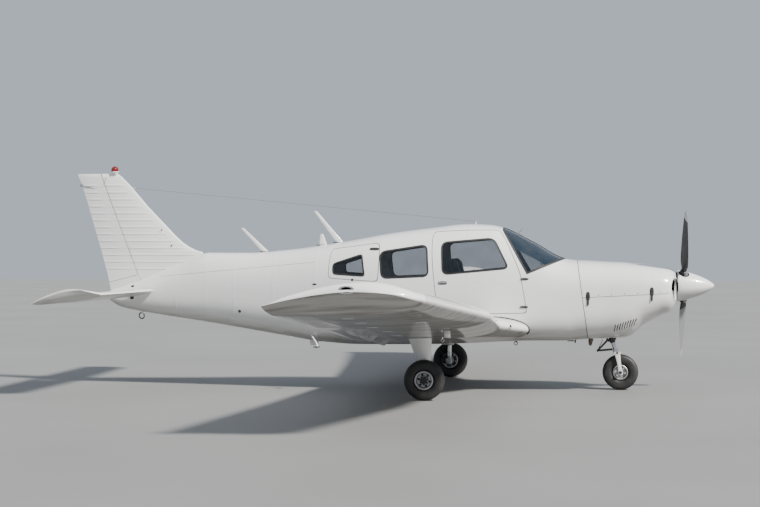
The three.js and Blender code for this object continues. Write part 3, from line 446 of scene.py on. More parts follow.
# %% Shapes
class Shape:
    """Corners and faces, in metres."""

    def __init__(self, corners, faces):
        self.corners = np.asarray(corners, float).reshape(-1, 3)
        self.faces = [tuple(int(at) for at in face) for face in faces]

    def __add__(self, other):
        shift = len(self.corners)
        moved = [tuple(at + shift for at in face) for face in other.faces]
        return Shape(np.vstack([self.corners, other.corners]), self.faces + moved)

    def outward(self):
        volume = 0.0
        for face in self.faces:
            a = self.corners[face[0]]
            for b, c in zip(face[1:], face[2:]):
                volume += a @ np.cross(self.corners[b], self.corners[c])
        return self if volume > 0 else Shape(self.corners, [face[::-1] for face in self.faces])


def together(shapes):
    shapes = list(shapes)
    whole = shapes[0]
    for shape in shapes[1:]:
        whole = whole + shape
    return whole


def loft(rings, endless=False):
    """Rings of equal count joined in order, with flat ends or, if endless, the last to the first."""
    rings = np.asarray(rings, float)
    count, around = rings.shape[:2]
    faces = []
    for ring in range(count if endless else count - 1):
        low, high = ring * around, (ring + 1) % count * around
        for step in range(around):
            after = (step + 1) % around
            faces.append((low + step, low + after, high + after, high + step))
    if not endless:
        faces.append(tuple(range(around))[::-1])
        faces.append(tuple(range((count - 1) * around, count * around)))
    return Shape(rings.reshape(-1, 3), faces).outward()


def unit(vector):
    vector = np.asarray(vector, float)
    return vector / np.linalg.norm(vector)


def turns(count):
    """Angles spaced evenly round a circle."""
    return np.linspace(0, 2 * math.pi, count, endpoint=False)


def turned(profile, centre, axis, steps=48, endless=False):
    """A profile of (distance along the axis, radius) turned about it."""
    axis = unit(axis)
    side = unit(np.cross(axis, (0.3, 0.2, 1.0) if abs(axis[2]) < 0.9 else (1.0, 0.2, 0.1)))
    up = np.cross(axis, side)
    circle = np.outer(np.cos(turns(steps)), side) + np.outer(np.sin(turns(steps)), up)
    rings = [np.asarray(centre) + along * axis + max(radius, 1e-5) * circle for along, radius in profile]
    return loft(rings, endless)


def rod(low, high, radius, centre, axis, steps=48):
    """A round bar along an axis, between two distances from a point on it."""
    return turned([(low, radius), (high, radius)], centre, axis, steps)


def tube(points, radius, sides=10):
    """A round bar through points; the radius may be one number or one for each point."""
    points = np.asarray(points, float)
    radii = np.broadcast_to(radius, len(points))
    ways = np.gradient(points, axis=0)
    side = unit(np.cross(ways[0], (0.31, 0.83, 0.46)))
    angles = turns(sides)
    rings = []
    for point, way, size in zip(points, ways, radii):
        way = unit(way)
        side = unit(side - (side @ way) * way)
        up = np.cross(way, side)
        rings.append(point + size * (np.outer(np.cos(angles), side) + np.outer(np.sin(angles), up)))
    return loft(rings)


def prism(outline, near, far):
    """An outline of (x, z) points run across the aircraft from y near to y far."""
    return loft([[(x, y, z) for x, z in outline] for y in (near, far)])


def oblong(u0, u1, v0, v1):
    return [(u0, v0), (u1, v0), (u1, v1), (u0, v1)]


def brick(low, high):
    (x0, y0, z0), (x1, y1, z1) = low, high
    return prism(oblong(x0, x1, z0, z1), y0, y1)


def rounded(corners, radius, steps=6):
    """An outline whose corners are rounded, each by one curve from edge to edge."""
    corners = np.asarray(corners, float)
    outline = []
    for at, here in enumerate(corners):
        before, after = corners[at - 1], corners[(at + 1) % len(corners)]
        start = here + unit(before - here) * radius
        end = here + unit(after - here) * radius
        for share in np.linspace(0, 1, steps + 1):
            outline.append((1 - share) ** 2 * start + 2 * share * (1 - share) * here + share ** 2 * end)
    return np.array(outline)


def grown(corners, by):
    """An outline whose edges all move outward by a distance."""
    points = np.asarray(corners, float)
    following = np.roll(points, -1, axis=0)
    turn = np.sign(np.sum(points[:, 0] * following[:, 1] - following[:, 0] * points[:, 1]))
    edges = following - points
    normals = np.column_stack([edges[:, 1], -edges[:, 0]]) / np.linalg.norm(edges, axis=1)[:, None] * turn
    before = np.roll(normals, 1, axis=0)
    return points + (normals + before) * by / (1 + np.sum(normals * before, axis=1))[:, None]


print("a test loft has", len(tube([(0, 0, 0), (0, 0, 1)], 0.1).faces), "faces")

# %% [markdown]
# Openings are cut with Blender's boolean, and its manifold solver does that in a moment on closed
# shapes. The tools are thrown away afterwards, and the mesh that is left needs no modifier.

# %% Cutting
def as_mesh(name, shape):
    mesh = bpy.data.meshes.new(name)
    mesh.from_pydata(shape.corners.tolist(), [], shape.faces)
    return mesh


def worked(shape, operation, tools):
    """The shape after each tool in turn is taken from it, or shared with it, or added to it."""
    body = bpy.data.objects.new("blank", as_mesh("blank", shape))
    bpy.context.scene.collection.objects.link(body)
    cutters = []
    for tool in tools:
        cutter = bpy.data.objects.new("cutter", as_mesh("cutter", tool))
        bpy.context.scene.collection.objects.link(cutter)
        cutters.append(cutter)
        step = body.modifiers.new("step", "BOOLEAN")
        step.operation, step.solver, step.object = operation, "MANIFOLD", cutter
    done = body.evaluated_get(bpy.context.evaluated_depsgraph_get()).to_mesh()
    result = Shape([vertex.co[:] for vertex in done.vertices], [face.vertices[:] for face in done.polygons])
    for used in (body, *cutters):
        bpy.data.objects.remove(used)
    return result


def cut(shape, *tools):
    return worked(shape, "DIFFERENCE", tools)


def common(shape, *tools):
    return worked(shape, "INTERSECT", tools)


# %% [markdown]
# Every visible piece is made by one function, so that none is left without a body to ride on, smooth
# shading and, where a real edge would be rounded, a small bevel. Most pieces ride on the airframe,
# so that is the body unless another is named.

# %% Pieces
triangles = {}
SHARP = 32               # degrees: edges that turn more than this stay crisp
BEVEL_FROM = 38          # degrees: edges that turn more than this can be bevelled


def piece(name, shape, finish, stands_for=(), body="airframe", slot=None, bevel=0.0, sharp=SHARP,
          lining=None):
    """A finished object; lining is a second finish and a test that picks its faces by their middle."""
    slot = slot or slot_of[finish]
    mesh = as_mesh(name, shape)
    mesh.materials.append(finish)
    if lining:
        mesh.materials.append(lining[0])
        middles = np.array([face.center[:] for face in mesh.polygons])
        for face, inside in zip(mesh.polygons, lining[1](middles)):
            face.material_index = int(inside)
    mesh.shade_smooth()
    mesh.set_sharp_from_angle(angle=math.radians(sharp))
    made = bpy.data.objects.new(name, mesh)
    bpy.context.scene.collection.objects.link(made)
    if bevel:
        edge = made.modifiers.new("edge", "BEVEL")
        edge.width, edge.segments, edge.limit_method = bevel, 2, "ANGLE"
        edge.angle_limit = math.radians(BEVEL_FROM)
    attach(made, body)
    if stands_for:
        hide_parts(*stands_for)
    triangles[name] = sum(len(face) - 2 for face in shape.faces)
    print(name, triangles[name], "triangles")
    return made


# %% [markdown]
# The fuselage is a row of frames, each a pair of half ovals with their own fullness: a superellipse
# above the widest line and another below it. The table gives them from nose to tail, and a monotone
# curve runs through every column, so that the skin is smooth and never swells past a frame.

# %% Fuselage frames
FRAMES = np.array([
    # x, top, bottom, half width, height of widest line, fullness above, fullness below
    (3.200, 1.322, 0.945, 0.262, 1.115, 2.2, 2.2),
    (3.175, 1.342, 0.908, 0.338, 1.115, 2.3, 2.4),
    (3.120, 1.361, 0.859, 0.398, 1.115, 2.4, 2.6),
    (3.035, 1.375, 0.827, 0.430, 1.112, 2.5, 2.7),
    (2.926, 1.391, 0.772, 0.450, 1.110, 2.5, 2.9),
    (2.828, 1.402, 0.712, 0.463, 1.110, 2.6, 3.0),
    (2.770, 1.407, 0.652, 0.469, 1.106, 2.6, 3.0),
    (2.710, 1.410, 0.606, 0.475, 1.102, 2.6, 3.1),
    (2.600, 1.418, 0.582, 0.483, 1.097, 2.6, 3.3),
    (2.460, 1.424, 0.578, 0.490, 1.090, 2.6, 3.4),
    (2.240, 1.436, 0.566, 0.506, 1.080, 2.6, 3.6),
    (2.120, 1.441, 0.556, 0.514, 1.070, 2.6, 3.6),
    (2.010, 1.455, 0.548, 0.522, 1.060, 2.6, 3.8),
    (1.636, 1.646, 0.545, 0.546, 1.040, 2.7, 4.0),
    (1.301, 1.806, 0.535, 0.556, 1.020, 2.9, 4.0),
    (1.180, 1.832, 0.528, 0.558, 1.010, 3.0, 4.0),
    (0.931, 1.843, 0.515, 0.560, 1.000, 3.0, 4.0),
    (0.500, 1.799, 0.500, 0.556, 1.000, 3.0, 4.0),
    (0.000, 1.733, 0.494, 0.540, 1.000, 3.0, 4.0),
    (-0.318, 1.675, 0.492, 0.512, 1.000, 2.9, 3.8),
    (-0.760, 1.603, 0.517, 0.445, 1.010, 2.7, 3.4),
    (-1.100, 1.558, 0.568, 0.388, 1.030, 2.5, 3.0),
    (-1.600, 1.520, 0.648, 0.306, 1.070, 2.3, 2.7),
    (-2.060, 1.520, 0.722, 0.236, 1.100, 2.2, 2.5),
    (-2.400, 1.400, 0.772, 0.190, 1.090, 2.2, 2.4),
    (-2.700, 1.280, 0.817, 0.154, 1.060, 2.2, 2.3),
    (-2.900, 1.196, 0.850, 0.130, 1.040, 2.2, 2.3),
    (-3.130, 1.118, 0.905, 0.104, 1.020, 2.2, 2.2),
    (-3.221, 1.090, 0.962, 0.092, 1.030, 2.2, 2.2),
])[::-1]
AROUND = 112          # points round a frame
STATION = 0.032       # spacing of the rings along the fuselage


def monotone(table, at):
    """Every column of a table at new values of its first, by a cubic that never overshoots."""
    x, y = table[:, 0], table[:, 1:]
    h = np.diff(x)[:, None]
    slope = np.diff(y, axis=0) / h
    before, after = slope[:-1], slope[1:]
    harmonic = ((2 * h[1:] + h[:-1]) / np.where(before == 0, 1, before)
                + (h[1:] + 2 * h[:-1]) / np.where(after == 0, 1, after))
    inner = np.where(after * before > 0, 3 * (h[1:] + h[:-1]) / harmonic, 0)
    tangent = np.vstack([slope[:1], inner, slope[-1:]])
    at = np.clip(np.atleast_1d(at).astype(float), x[0], x[-1])
    left = np.clip(np.searchsorted(x, at, "right") - 1, 0, len(x) - 2)
    width = h[left]
    t = (at[:, None] - x[left][:, None]) / width
    return ((1 + 2 * t) * (1 - t) ** 2 * y[left] + t * (1 - t) ** 2 * width * tangent[left]
            + t * t * (3 - 2 * t) * y[left + 1] + t * t * (t - 1) * width * tangent[left + 1])


def frame_rings(stations, inset=0.0, floor=None, around=AROUND):
    """Rings of skin points, moved inward by the inset, and upward at the bottom by the floor."""
    floor = inset if floor is None else floor
    angle = (np.arange(around) + 0.5) * 2 * math.pi / around
    c, s = np.cos(angle), np.sin(angle)
    rings = []
    for x, (top, bottom, half, widest, above, below) in zip(stations, monotone(FRAMES, stations)):
        fullness = np.where(s > 0, above, below)
        rise = np.where(s > 0, top - inset - widest, widest - bottom - floor)
        reach = (np.abs(c / (half - inset)) ** fullness + np.abs(s / rise) ** fullness) ** (-1 / fullness)
        rings.append(np.column_stack([np.full(around, x), reach * c, widest + reach * s]))
    return rings


def hull(aft, front, inset=0.0, floor=None, around=AROUND, spacing=STATION):
    count = int(math.ceil((front - aft) / spacing)) + 1
    return loft(frame_rings(np.linspace(aft, front, count), inset, floor, around))


def below_skin(points, share=0.90):
    """True for points well inside the skin, where the lining is."""
    top, bottom, half, widest, above, below = monotone(FRAMES, points[:, 0]).T
    z = points[:, 2] - widest
    fullness = np.where(z > 0, above, below)
    rise = np.where(z > 0, top - widest, widest - bottom)
    return np.abs(points[:, 1] / half) ** fullness + np.abs(z / rise) ** fullness < share


def skin_spot(x, z, side=-1):
    """A point on the side of the fuselage at x and z, with its three directions: aft, up and out."""
    def at(x, z):
        top, bottom, half, widest, above, below = monotone(FRAMES, x)[0]
        rise, fullness = (top - widest, above) if z > widest else (bottom - widest, below)
        return np.array([x, side * half * (1 - abs((z - widest) / rise) ** fullness) ** (1 / fullness), z])
    here = at(x, z)
    along = unit(at(x + 0.01, z) - at(x - 0.01, z))
    out = unit(np.cross(along, at(x, z + 0.01) - at(x, z - 0.01)))
    out = out if out[1] * side > 0 else -out
    return here, along, unit(np.cross(out, along)) * (1 if side < 0 else -1), out


spot = skin_spot(0.673, 1.191)
print("skin at the door handle", spot[0].round(3), "facing", spot[3].round(3))
# %% [markdown]
# The cabin is a shell with its floor, a front wall behind the engine and a bulkhead behind the
# seats. Windows and doors are drawn on the side as outlines and cut straight across. The doors are
# cut from the same shell, so that they carry its curve, and a narrow gap is left round each.

# %% Cabin outlines
GAP = 0.007              # round the doors and the control surfaces
FAR = 9                  # further out than any piece
SLIT = 0.0003            # left between a piece and the shape that it was cut by
WALL = 0.040             # cabin wall with its lining
FLOOR_DEPTH = 0.095
CABIN_AFT = -0.760
BULKHEAD = 0.024
BEVEL = 0.100            # how much smaller a door is inside than at the skin
DOOR_CORNER = 0.045
FIREWALL = ((2.129, 1.430), (2.242, 0.600))
WINDSHIELD = [(2.004, 1.466), (1.592, 1.296), (1.322, 1.772), (1.300, 2.000), (2.300, 2.000),
              (2.300, 1.466)]
CABIN_DOOR = [(0.492, 1.815), (1.305, 1.838), (1.355, 1.790), (1.532, 1.308), (1.608, 0.852),
              (0.610, 0.838)]
BAGGAGE_DOOR = [(-0.653, 1.625), (0.015, 1.688), (-0.031, 1.185), (-0.641, 1.207)]
SIDE_WINDOWS = {
    # name: corners, corner radius
    "front": ([(0.656, 1.632), (1.226, 1.680), (1.392, 1.352), (0.672, 1.284)], 0.070),
    "rear": ([(-0.026, 1.530), (0.492, 1.608), (0.516, 1.264), (-0.004, 1.240)], 0.070),
    "baggage": ([(-0.556, 1.396), (-0.232, 1.502), (-0.196, 1.264), (-0.552, 1.286)], 0.035),
}
POST_HALF = 0.014        # half the windshield's centre post
SIDES = {"right": -1, "left": 1}


def firewall_x(z):
    (x0, z0), (x1, z1) = FIREWALL
    return x0 + (x1 - x0) * (z - z0) / (z1 - z0)


def behind_firewall(shift=0.0):
    high, low = (firewall_x(z) + shift for z in (2.2, 0.2))
    return prism([(high, 2.2), (low, 0.2), (-FAR, 0.2), (-FAR, 2.2)], -FAR, FAR)


def across(outline, side, near=0.2, far=0.9):
    """An outline run across one side of the aircraft, between two distances from its middle."""
    return prism(outline, *sorted((side * near, side * far)))


def door_block(corners, grow):
    """A door's block: its outline at the skin, tapering inwards, with rounded corners."""
    rings = [(grow, -0.630), (grow - BEVEL, -0.180)]
    return loft([[(x, y, z) for x, z in rounded(grown(corners, by), DOOR_CORNER)] for by, y in rings])


print("door outline", len(rounded(CABIN_DOOR, DOOR_CORNER)), "points")

# %% [markdown]
# The shell is the hull with a smaller one taken out of it, ended by the sloping front wall. A door is
# the part of that shell inside its block, and its opening is the same block with the gap added, so
# the two always fit.

# %% Cabin shell and doors
room = hull(CABIN_AFT + BULKHEAD, 2.095, WALL, FLOOR_DEPTH, 64, 0.07)
walls = cut(common(hull(CABIN_AFT, 2.26), behind_firewall()), room)
window_holes = {(name, label): across(rounded(corners, radius), side)
                for name, (corners, radius) in SIDE_WINDOWS.items() for label, side in SIDES.items()}
shield_holes = [across(WINDSHIELD, side, POST_HALF, 1.0) for side in (-1, 1)]
door_hole, baggage_hole = door_block(CABIN_DOOR, GAP), door_block(BAGGAGE_DOOR, GAP)
liner = (cabin_liner, below_skin)
shell = cut(walls, *window_holes.values(), *shield_holes, door_hole, baggage_hole)
piece("cabin_skin", shell, fuselage_paint,
      ["cabin_floor", "cabin_side_right", "cabin_side_left", "cabin_roof"], lining=liner)
door = cut(common(walls, door_block(CABIN_DOOR, 0)), window_holes["front", "right"])
piece("cabin_door_skin", door, fuselage_paint, ["cabin_door"], body="cabin_door_body", lining=liner)
hatch = cut(common(walls, door_block(BAGGAGE_DOOR, 0)), window_holes["baggage", "right"])
piece("baggage_door_skin", hatch, fuselage_paint, ["baggage_door"], body="baggage_door_body", lining=liner)

# %% [markdown]
# Each pane is a thin layer of the hull's own shape, filling its hole, so it bulges just as the
# skin does. A black rubber seal runs round it: a slightly thicker layer, between an outline a
# little larger than the pane and one a little smaller.

# %% Windows and their seals
GLASS_DEPTH = 0.005      # below the skin
GLASS = 0.006
SEAL_OUT, SEAL_IN = 0.009, 0.010
glass_layer = cut(hull(CABIN_AFT, 2.26, GLASS_DEPTH), hull(CABIN_AFT - 0.01, 2.27, GLASS_DEPTH + GLASS))
seal_layer = cut(hull(CABIN_AFT, 2.26, -0.0015), hull(CABIN_AFT - 0.01, 2.27, 0.016))


def body_of_window(name, label):
    doors = {"front": "cabin_door_body", "baggage": "baggage_door_body"}
    return doors.get(name, "airframe") if label == "right" else "airframe"


for name, label in window_holes:
    corners, radius = SIDE_WINDOWS[name]
    side, body = SIDES[label], body_of_window(name, label)
    pane = common(glass_layer, across(rounded(grown(corners, -SLIT), radius), side))
    piece(f"pane_{name}_{label}", pane, side_glass, [f"window_{name}_{label}"], body=body)
    ring = cut(across(rounded(grown(corners, SEAL_OUT), radius + SEAL_OUT), side),
               across(rounded(grown(corners, -SEAL_IN), radius - SEAL_IN), side, 0.15))
    piece(f"seal_{name}_{label}", common(seal_layer, ring), seal_rubber, body=body, sharp=50)
for label, side in SIDES.items():
    pane = common(glass_layer, across(grown(WINDSHIELD, -0.0004), side, POST_HALF + SLIT, 1.0))
    piece(f"pane_windshield_{label}", pane, shield_glass, [f"windshield_{label}"])
    frame_ring = cut(across(grown(WINDSHIELD, 0.008), side, POST_HALF - 0.006, 1.0),
                     across(grown(WINDSHIELD, -0.012), side, POST_HALF + 0.010, 1.1))
    piece(f"seal_windshield_{label}", common(seal_layer, frame_ring), seal_rubber, sharp=50)

# %% [markdown]
# Behind the cabin the skins close into the tail cone. It is open at its front, as the construction
# has it, and a tube for the tailplane crosses it. Outside, each sheet laps over the one behind, so
# raised edges less than a millimetre high run round it and catch the light.

# %% Tail cone
TAIL_WALL = 0.012
STABILATOR_HINGE = (-2.900, 0, 1.062)
TAIL_LAPS = (-1.25, -1.72, -2.06, -2.42)
LAP_HALF, LAP_HEIGHT = 0.011, 0.0009
tail = cut(hull(-3.221, CABIN_AFT - SLIT), hull(-2.78, CABIN_AFT + 0.01, TAIL_WALL, None, 48, 0.08),
           rod(-0.4, 0.4, 0.038, STABILATOR_HINGE, (0, 1, 0)))
tail_pad = rod(0, 0.06, 0.018, (-2.85, 0, 0.815), (0, 0, 1), 24)
piece("tail_cone_skin", tail + tail_pad, tail_paint, ["tail_cone"])
lap_bands = together(cut(hull(x - LAP_HALF, x + LAP_HALF, -LAP_HEIGHT, None, AROUND, LAP_HALF),
                         hull(x - 1.1 * LAP_HALF, x + 1.1 * LAP_HALF, 0.002, None, AROUND, LAP_HALF))
                     for x in (*TAIL_LAPS, CABIN_AFT))
piece("tail_laps", lap_bands, tail_paint, sharp=20)

# %% [markdown]
# The cowling is in two halves of thin composite, split along the middle of the nose. The lower half
# has the two air inlets' lower lips, a chin scoop, an outlet at its back and rows of louvres. Its
# inlets are cut right through, so that the engine shows in them.

# %% Cowling
COWL = 0.014
COWL_FRONT = 3.200
SPLIT = ((2.0, 1.028), (3.3, 1.092))      # where the halves meet, in x and z
SPLIT_GAP = 0.005
PROP_X, PROP_Z = 3.292, 1.157
STEER_POINT = np.array((2.555, 0, 0.420))
STEER_RAKE = math.radians(18)
STEER_UP = np.array((-math.sin(STEER_RAKE), 0, math.cos(STEER_RAKE)))
INLET_Y, INLET_Z, INLET_WIDE, INLET_TALL = 0.275, 1.130, 0.110, 0.120     # middle and half axes
CHIN_SCOOP = ((2.70, -0.15, 0.668), (2.90, 0.15, 0.752))
COWL_JOINT = 0.007       # the open joint in front of the front wall
OUTLET = ((2.19, -0.17, 0.50), (2.33, 0.17, 0.64))


def steer_at(distance):
    return STEER_POINT + distance * STEER_UP


def firewall_front(shift=SLIT):
    high, low = (firewall_x(z) + shift for z in (2.2, 0.2))
    return prism([(high, 2.2), (low, 0.2), (5, 0.2), (5, 2.2)], -FAR, FAR)


def inlet(side, grow=0.0):
    wide, tall = INLET_WIDE + grow, INLET_TALL + grow
    return loft([[(x, side * INLET_Y + wide * math.cos(turn), INLET_Z + tall * math.sin(turn))
                  for turn in turns(72)] for x in (3.05, 3.40)])


cowl_blank = cut(common(hull(2.05, COWL_FRONT, spacing=0.015), firewall_front(COWL_JOINT)),
                 hull(2.04, COWL_FRONT - COWL, COWL))
(_, split_aft), (_, split_front) = SPLIT
upper_block = prism([(2.0, split_aft), (3.3, split_front), (3.3, 2.0), (2.0, 2.0)], -0.9, 0.9)
lower_block = prism([(2.0, split_aft - SPLIT_GAP), (3.3, split_front - SPLIT_GAP), (3.3, 0.3), (2.0, 0.3)],
                    -0.9, 0.9)
inlets = [inlet(side) for side in (-1, 1)]
shaft_hole = rod(0, 0.3, 0.070, (3.10, 0, PROP_Z), (1, 0, 0))
strut_hole = rod(0.06, 0.33, 0.078, STEER_POINT, STEER_UP)
upper = cut(common(cowl_blank, upper_block), *inlets, shaft_hole)
lower = cut(common(cowl_blank, lower_block), *inlets, shaft_hole, strut_hole, brick(*CHIN_SCOOP),
            brick(*OUTLET))
cowl_liner = (dark_steel, lambda points: below_skin(points, 0.965) & (points[:, 0] < COWL_FRONT - 0.02))
piece("cowl_top", upper, cowl_paint, ["cowl_upper"], lining=cowl_liner)
piece("cowl_bottom", lower, cowl_paint, ["cowl_lower"], lining=cowl_liner)
lip_layer = cut(hull(3.06, COWL_FRONT + 0.003, -0.003, spacing=0.006),
                hull(3.0, COWL_FRONT - 0.016, 0.013, spacing=0.006))
lips = together(common(lip_layer, cut(inlet(side, 0.011), inlet(side, -0.002))) for side in (-1, 1))
piece("inlet_lips", lips, cowl_paint, sharp=60)
# %% [markdown]
# The wing is straight near the body, has a kink in its leading edge where the root glove starts,
# and tapers outboard. The table gives its sections from root to tip. Between the ribs the skin runs
# straight, so its columns are read along lines, except in the moulded tip, which is curved.

# %% Wing sections
WING = np.array([
    # distance out, leading edge x, z, trailing edge x, z, thickness, camber
    (0.380, 1.665, 0.682, -0.240, 0.527, 0.135, 0.020),
    (1.150, 1.340, 0.763, -0.240, 0.608, 0.150, 0.020),
    (2.700, 1.335, 0.926, -0.240, 0.771, 0.150, 0.020),
    (5.060, 0.965, 1.157, -0.300, 1.020, 0.160, 0.020),
    (5.230, 0.870, 1.176, -0.325, 1.062, 0.120, 0.080),
    (5.310, 0.720, 1.205, -0.342, 1.100, 0.045, 0.085),
    (5.335, 0.600, 1.217, -0.336, 1.105, 0.015, 0.050),
])
TIP_START = 5.060
CHORD_POINTS = 34        # on the upper side, and again on the lower
AIRFOIL = (0.2969, -0.126, -0.3516, 0.2843, -0.1036)    # the usual four-digit thickness law
EDGE = 0.0012            # half thickness left at the trailing edge, as a share of the chord
BEAD_PITCH, BEAD_HALF, BEAD_HEIGHT = 0.125, 0.020, 0.0026
BEAD_FIELDS = ((0.72, 3.08, 0.03, -0.20), (3.36, 4.93, -0.03, -0.235))    # y from, y to, x from, x to
WING_TIP = 5.335


def section(lead, trail, thickness, camber, y, swell=None, extra=0.0):
    """An airfoil ring from two edge points (x, z), at y; swell(x) pushes the skin out."""
    lead, trail = np.asarray(lead), np.asarray(trail)
    chord = np.linalg.norm(trail - lead)
    back = (trail - lead) / chord
    up = np.array((back[1], -back[0]))
    up = up if up[1] > 0 else -up
    t = (1 - np.cos(np.linspace(0, math.pi, CHORD_POINTS))) / 2
    a, b, c, d, e = AIRFOIL
    half = 5 * thickness * (a * np.sqrt(t) + b * t + c * t ** 2 + d * t ** 3 + e * t ** 4) + EDGE
    middle = camber * np.where(t < 0.4, (0.8 * t - t * t) / 0.16, (0.2 + 0.8 * t - t * t) / 0.36)
    line = lead + np.outer(t * chord, back)
    out = (swell(line[:, 0]) if swell else 0.0) + extra
    over = line + np.outer(chord * (middle + half) + out, up)
    below = line + np.outer(chord * (middle - half) - out, up)
    ring = np.vstack([over[::-1], below[1:]])
    return np.column_stack([ring[:, 0], np.full(len(ring), y), ring[:, 1]])


def from_bead(at, first, pitch):
    """The distance to the nearest of a row of beads."""
    return abs((at - first) / pitch - round((at - first) / pitch)) * pitch


def beads(y, low, high, fade_front, fade_back):
    """The swell of pressed beads at a station: none outside low..high, fading towards both edges."""
    if not low < y < high:
        return None
    off = from_bead(y, low, BEAD_PITCH)
    height = BEAD_HEIGHT * max(0.0, 1 - (off / BEAD_HALF) ** 2) ** 2
    if height < 1e-5:
        return None
    return lambda x: height * np.clip((fade_front - x) / 0.02, 0, 1) * np.clip((x - fade_back) / 0.02, 0, 1)


def straight(table, at):
    """Every column of a table at new values of its first, along straight lines."""
    return np.column_stack([np.interp(at, table[:, 0], column) for column in table.T[1:]])


def with_tip(table, start, at):
    """The columns along straight lines, and along smooth ones where the first is past start."""
    tip = monotone(table[table[:, 0] >= start], np.clip(at, start, None))
    return np.where((at > start)[:, None], tip, straight(table, at))


def wing(side, extra=0.0, low=0.38, high=WING_TIP, spacing=0.0125):
    stations = np.concatenate([np.arange(low, min(high, TIP_START), spacing),
                               np.linspace(TIP_START, high, 28) if high > TIP_START else [high]])
    rings = []
    for y, (*edges, thickness, camber) in zip(stations, with_tip(WING, TIP_START, stations)):
        swell = beads(y, *BEAD_FIELDS[0]) or beads(y, *BEAD_FIELDS[1])
        rings.append(section(edges[:2], edges[2:], thickness, camber, side * y, swell, extra))
    return loft(rings)


print("the wing is a loft of", len(wing(1).corners) // (2 * CHORD_POINTS - 1), "sections")

# %% [markdown]
# A flap or an aileron is whatever lies behind its hinge line, with a round nose about the hinge, so
# that it turns in its cove without touching. The same shape, grown by the gap, is cut from the wing.

# %% Hinged surfaces
HINGED = {
    # name: hinge from, hinge to, nose radius
    "aileron": ((0.075, 3.270, 0.883), (-0.035, 4.980, 1.057), 0.058),
    "flap": ((0.080, 0.640, 0.505), (0.080, 3.150, 0.769), 0.152),
}


def hinged(start, end, up, nose, grow, end_gap=None, reach=0.7):
    start, end = np.asarray(start, float), np.asarray(end, float)
    along = unit(end - start)
    upright = unit(np.asarray(up) - (np.asarray(up) @ along) * along)
    aft = np.cross(upright, along)
    aft = aft if aft[0] < 0 else -aft
    first = math.acos(-grow / nose)
    arc = [(nose * math.cos(a), nose * math.sin(a)) for a in np.linspace(first, 2 * math.pi - first, 40)]
    outline = [(reach, 0.4), (-grow, 0.4), *arc, (-grow, -0.4), (reach, -0.4)]
    shift = grow if end_gap is None else end_gap
    return loft([[base + u * aft + v * upright for u, v in outline]
                 for base in (start - shift * along, end + shift * along)])


def sided(point, side):
    return (point[0], side * point[1], point[2])


hull_clearance = hull(-3.221, COWL_FRONT, -SLIT, None, 64, 0.06)
wing_tops = {}
for label, side in SIDES.items():
    whole = cut(wing(side), hull_clearance)
    regions = {name: [hinged(sided(start, side), sided(end, side), (0, 0, 1), nose + grow, grow)
                      for grow in (0.0, GAP)] for name, (start, end, nose) in HINGED.items()}
    jack_pad = rod(0, 0.09, 0.032, (0.85, side * 1.9, 0.672), (0, 0, 1), 32)
    wing_tops[label] = cut(whole, *(region[1] for region in regions.values()))
    piece(f"wing_skin_{label}", wing_tops[label] + jack_pad, wing_paint, [f"wing_{label}"])
    for name, region in regions.items():
        piece(f"{name}_skin_{label}", common(whole, region[0]), surface_paint, [f"{name}_{label}"],
              body=f"{name}_{label}_body")

# %% [markdown]
# The fin and rudder are stacked thin sections. Beads are pressed across both, one every eight
# centimetres, to keep the thin skins stiff; from a distance they read as fine level lines, darkened
# by a painted shade line under each bead. The beads are in the sections themselves: where a ring
# meets a bead, it is a few millimetres wider.

# %% Fin and rudder
FIN = np.array([
    # height, leading edge x, trailing edge x, half thickness
    (1.090, -2.020, -3.232, 0.054),
    (1.240, -2.080, -3.262, 0.050),
    (1.527, -2.145, -3.340, 0.044),
    (1.545, -2.215, -3.345, 0.044),
    (1.583, -2.296, -3.357, 0.043),
    (1.640, -2.380, -3.374, 0.042),
    (1.715, -2.463, -3.396, 0.040),
    (2.060, -2.797, -3.498, 0.031),
    (2.300, -3.005, -3.572, 0.024),
    (2.400, -3.105, -3.618, 0.020),
    (2.432, -3.150, -3.625, 0.010),
])
FIN_POINTS = 26
FIN_BEAD_PITCH, FIN_BEAD_HALF, FIN_BEAD_HEIGHT = 0.080, 0.013, 0.0046
FIN_BEADS = (1.335, 2.340)
RUDDER_LOW = np.array((-2.923, 0, 1.205))
RUDDER_WAY = unit((RUDDER_SLANT, 0, 1))
RUDDER_NOSE = 0.046


def rudder_line(z):
    return RUDDER_LOW[0] + (z - RUDDER_LOW[2]) * RUDDER_WAY[0] / RUDDER_WAY[2]


def fin_rings():
    rings = []
    heights = np.unique(np.concatenate([np.arange(1.090, 2.400, 0.0065), np.linspace(2.4, 2.432, 8)]))
    for z, (lead, trail, half) in zip(heights, straight(FIN, heights)):
        share = np.linspace(0, 1, FIN_POINTS) ** 1.6
        width = half * np.minimum(1, 1.9 * np.sqrt(share) * (1 - 0.45 * share)) * (1 - share ** 3) + 0.0025
        x = lead + share * (trail - lead)
        off = from_bead(z, FIN_BEADS[0], FIN_BEAD_PITCH)
        if FIN_BEADS[0] - 0.02 < z < FIN_BEADS[1] and off < FIN_BEAD_HALF:
            rise = FIN_BEAD_HEIGHT * (1 - (off / FIN_BEAD_HALF) ** 2) ** 2
            hinge = rudder_line(z)
            clear = np.clip((np.abs(x - hinge + 0.01) - 0.045) / 0.02, 0, 1)
            ends = np.clip((lead - 0.07 - x) / 0.03, 0, 1) * np.clip((x - trail - 0.03) / 0.02, 0, 1)
            width = width + rise * clear * ends
        left = np.column_stack([x, width, np.full(FIN_POINTS, z)])[::-1]
        right = np.column_stack([x, -width, np.full(FIN_POINTS, z)])
        rings.append(np.vstack([left, right]))
    return rings


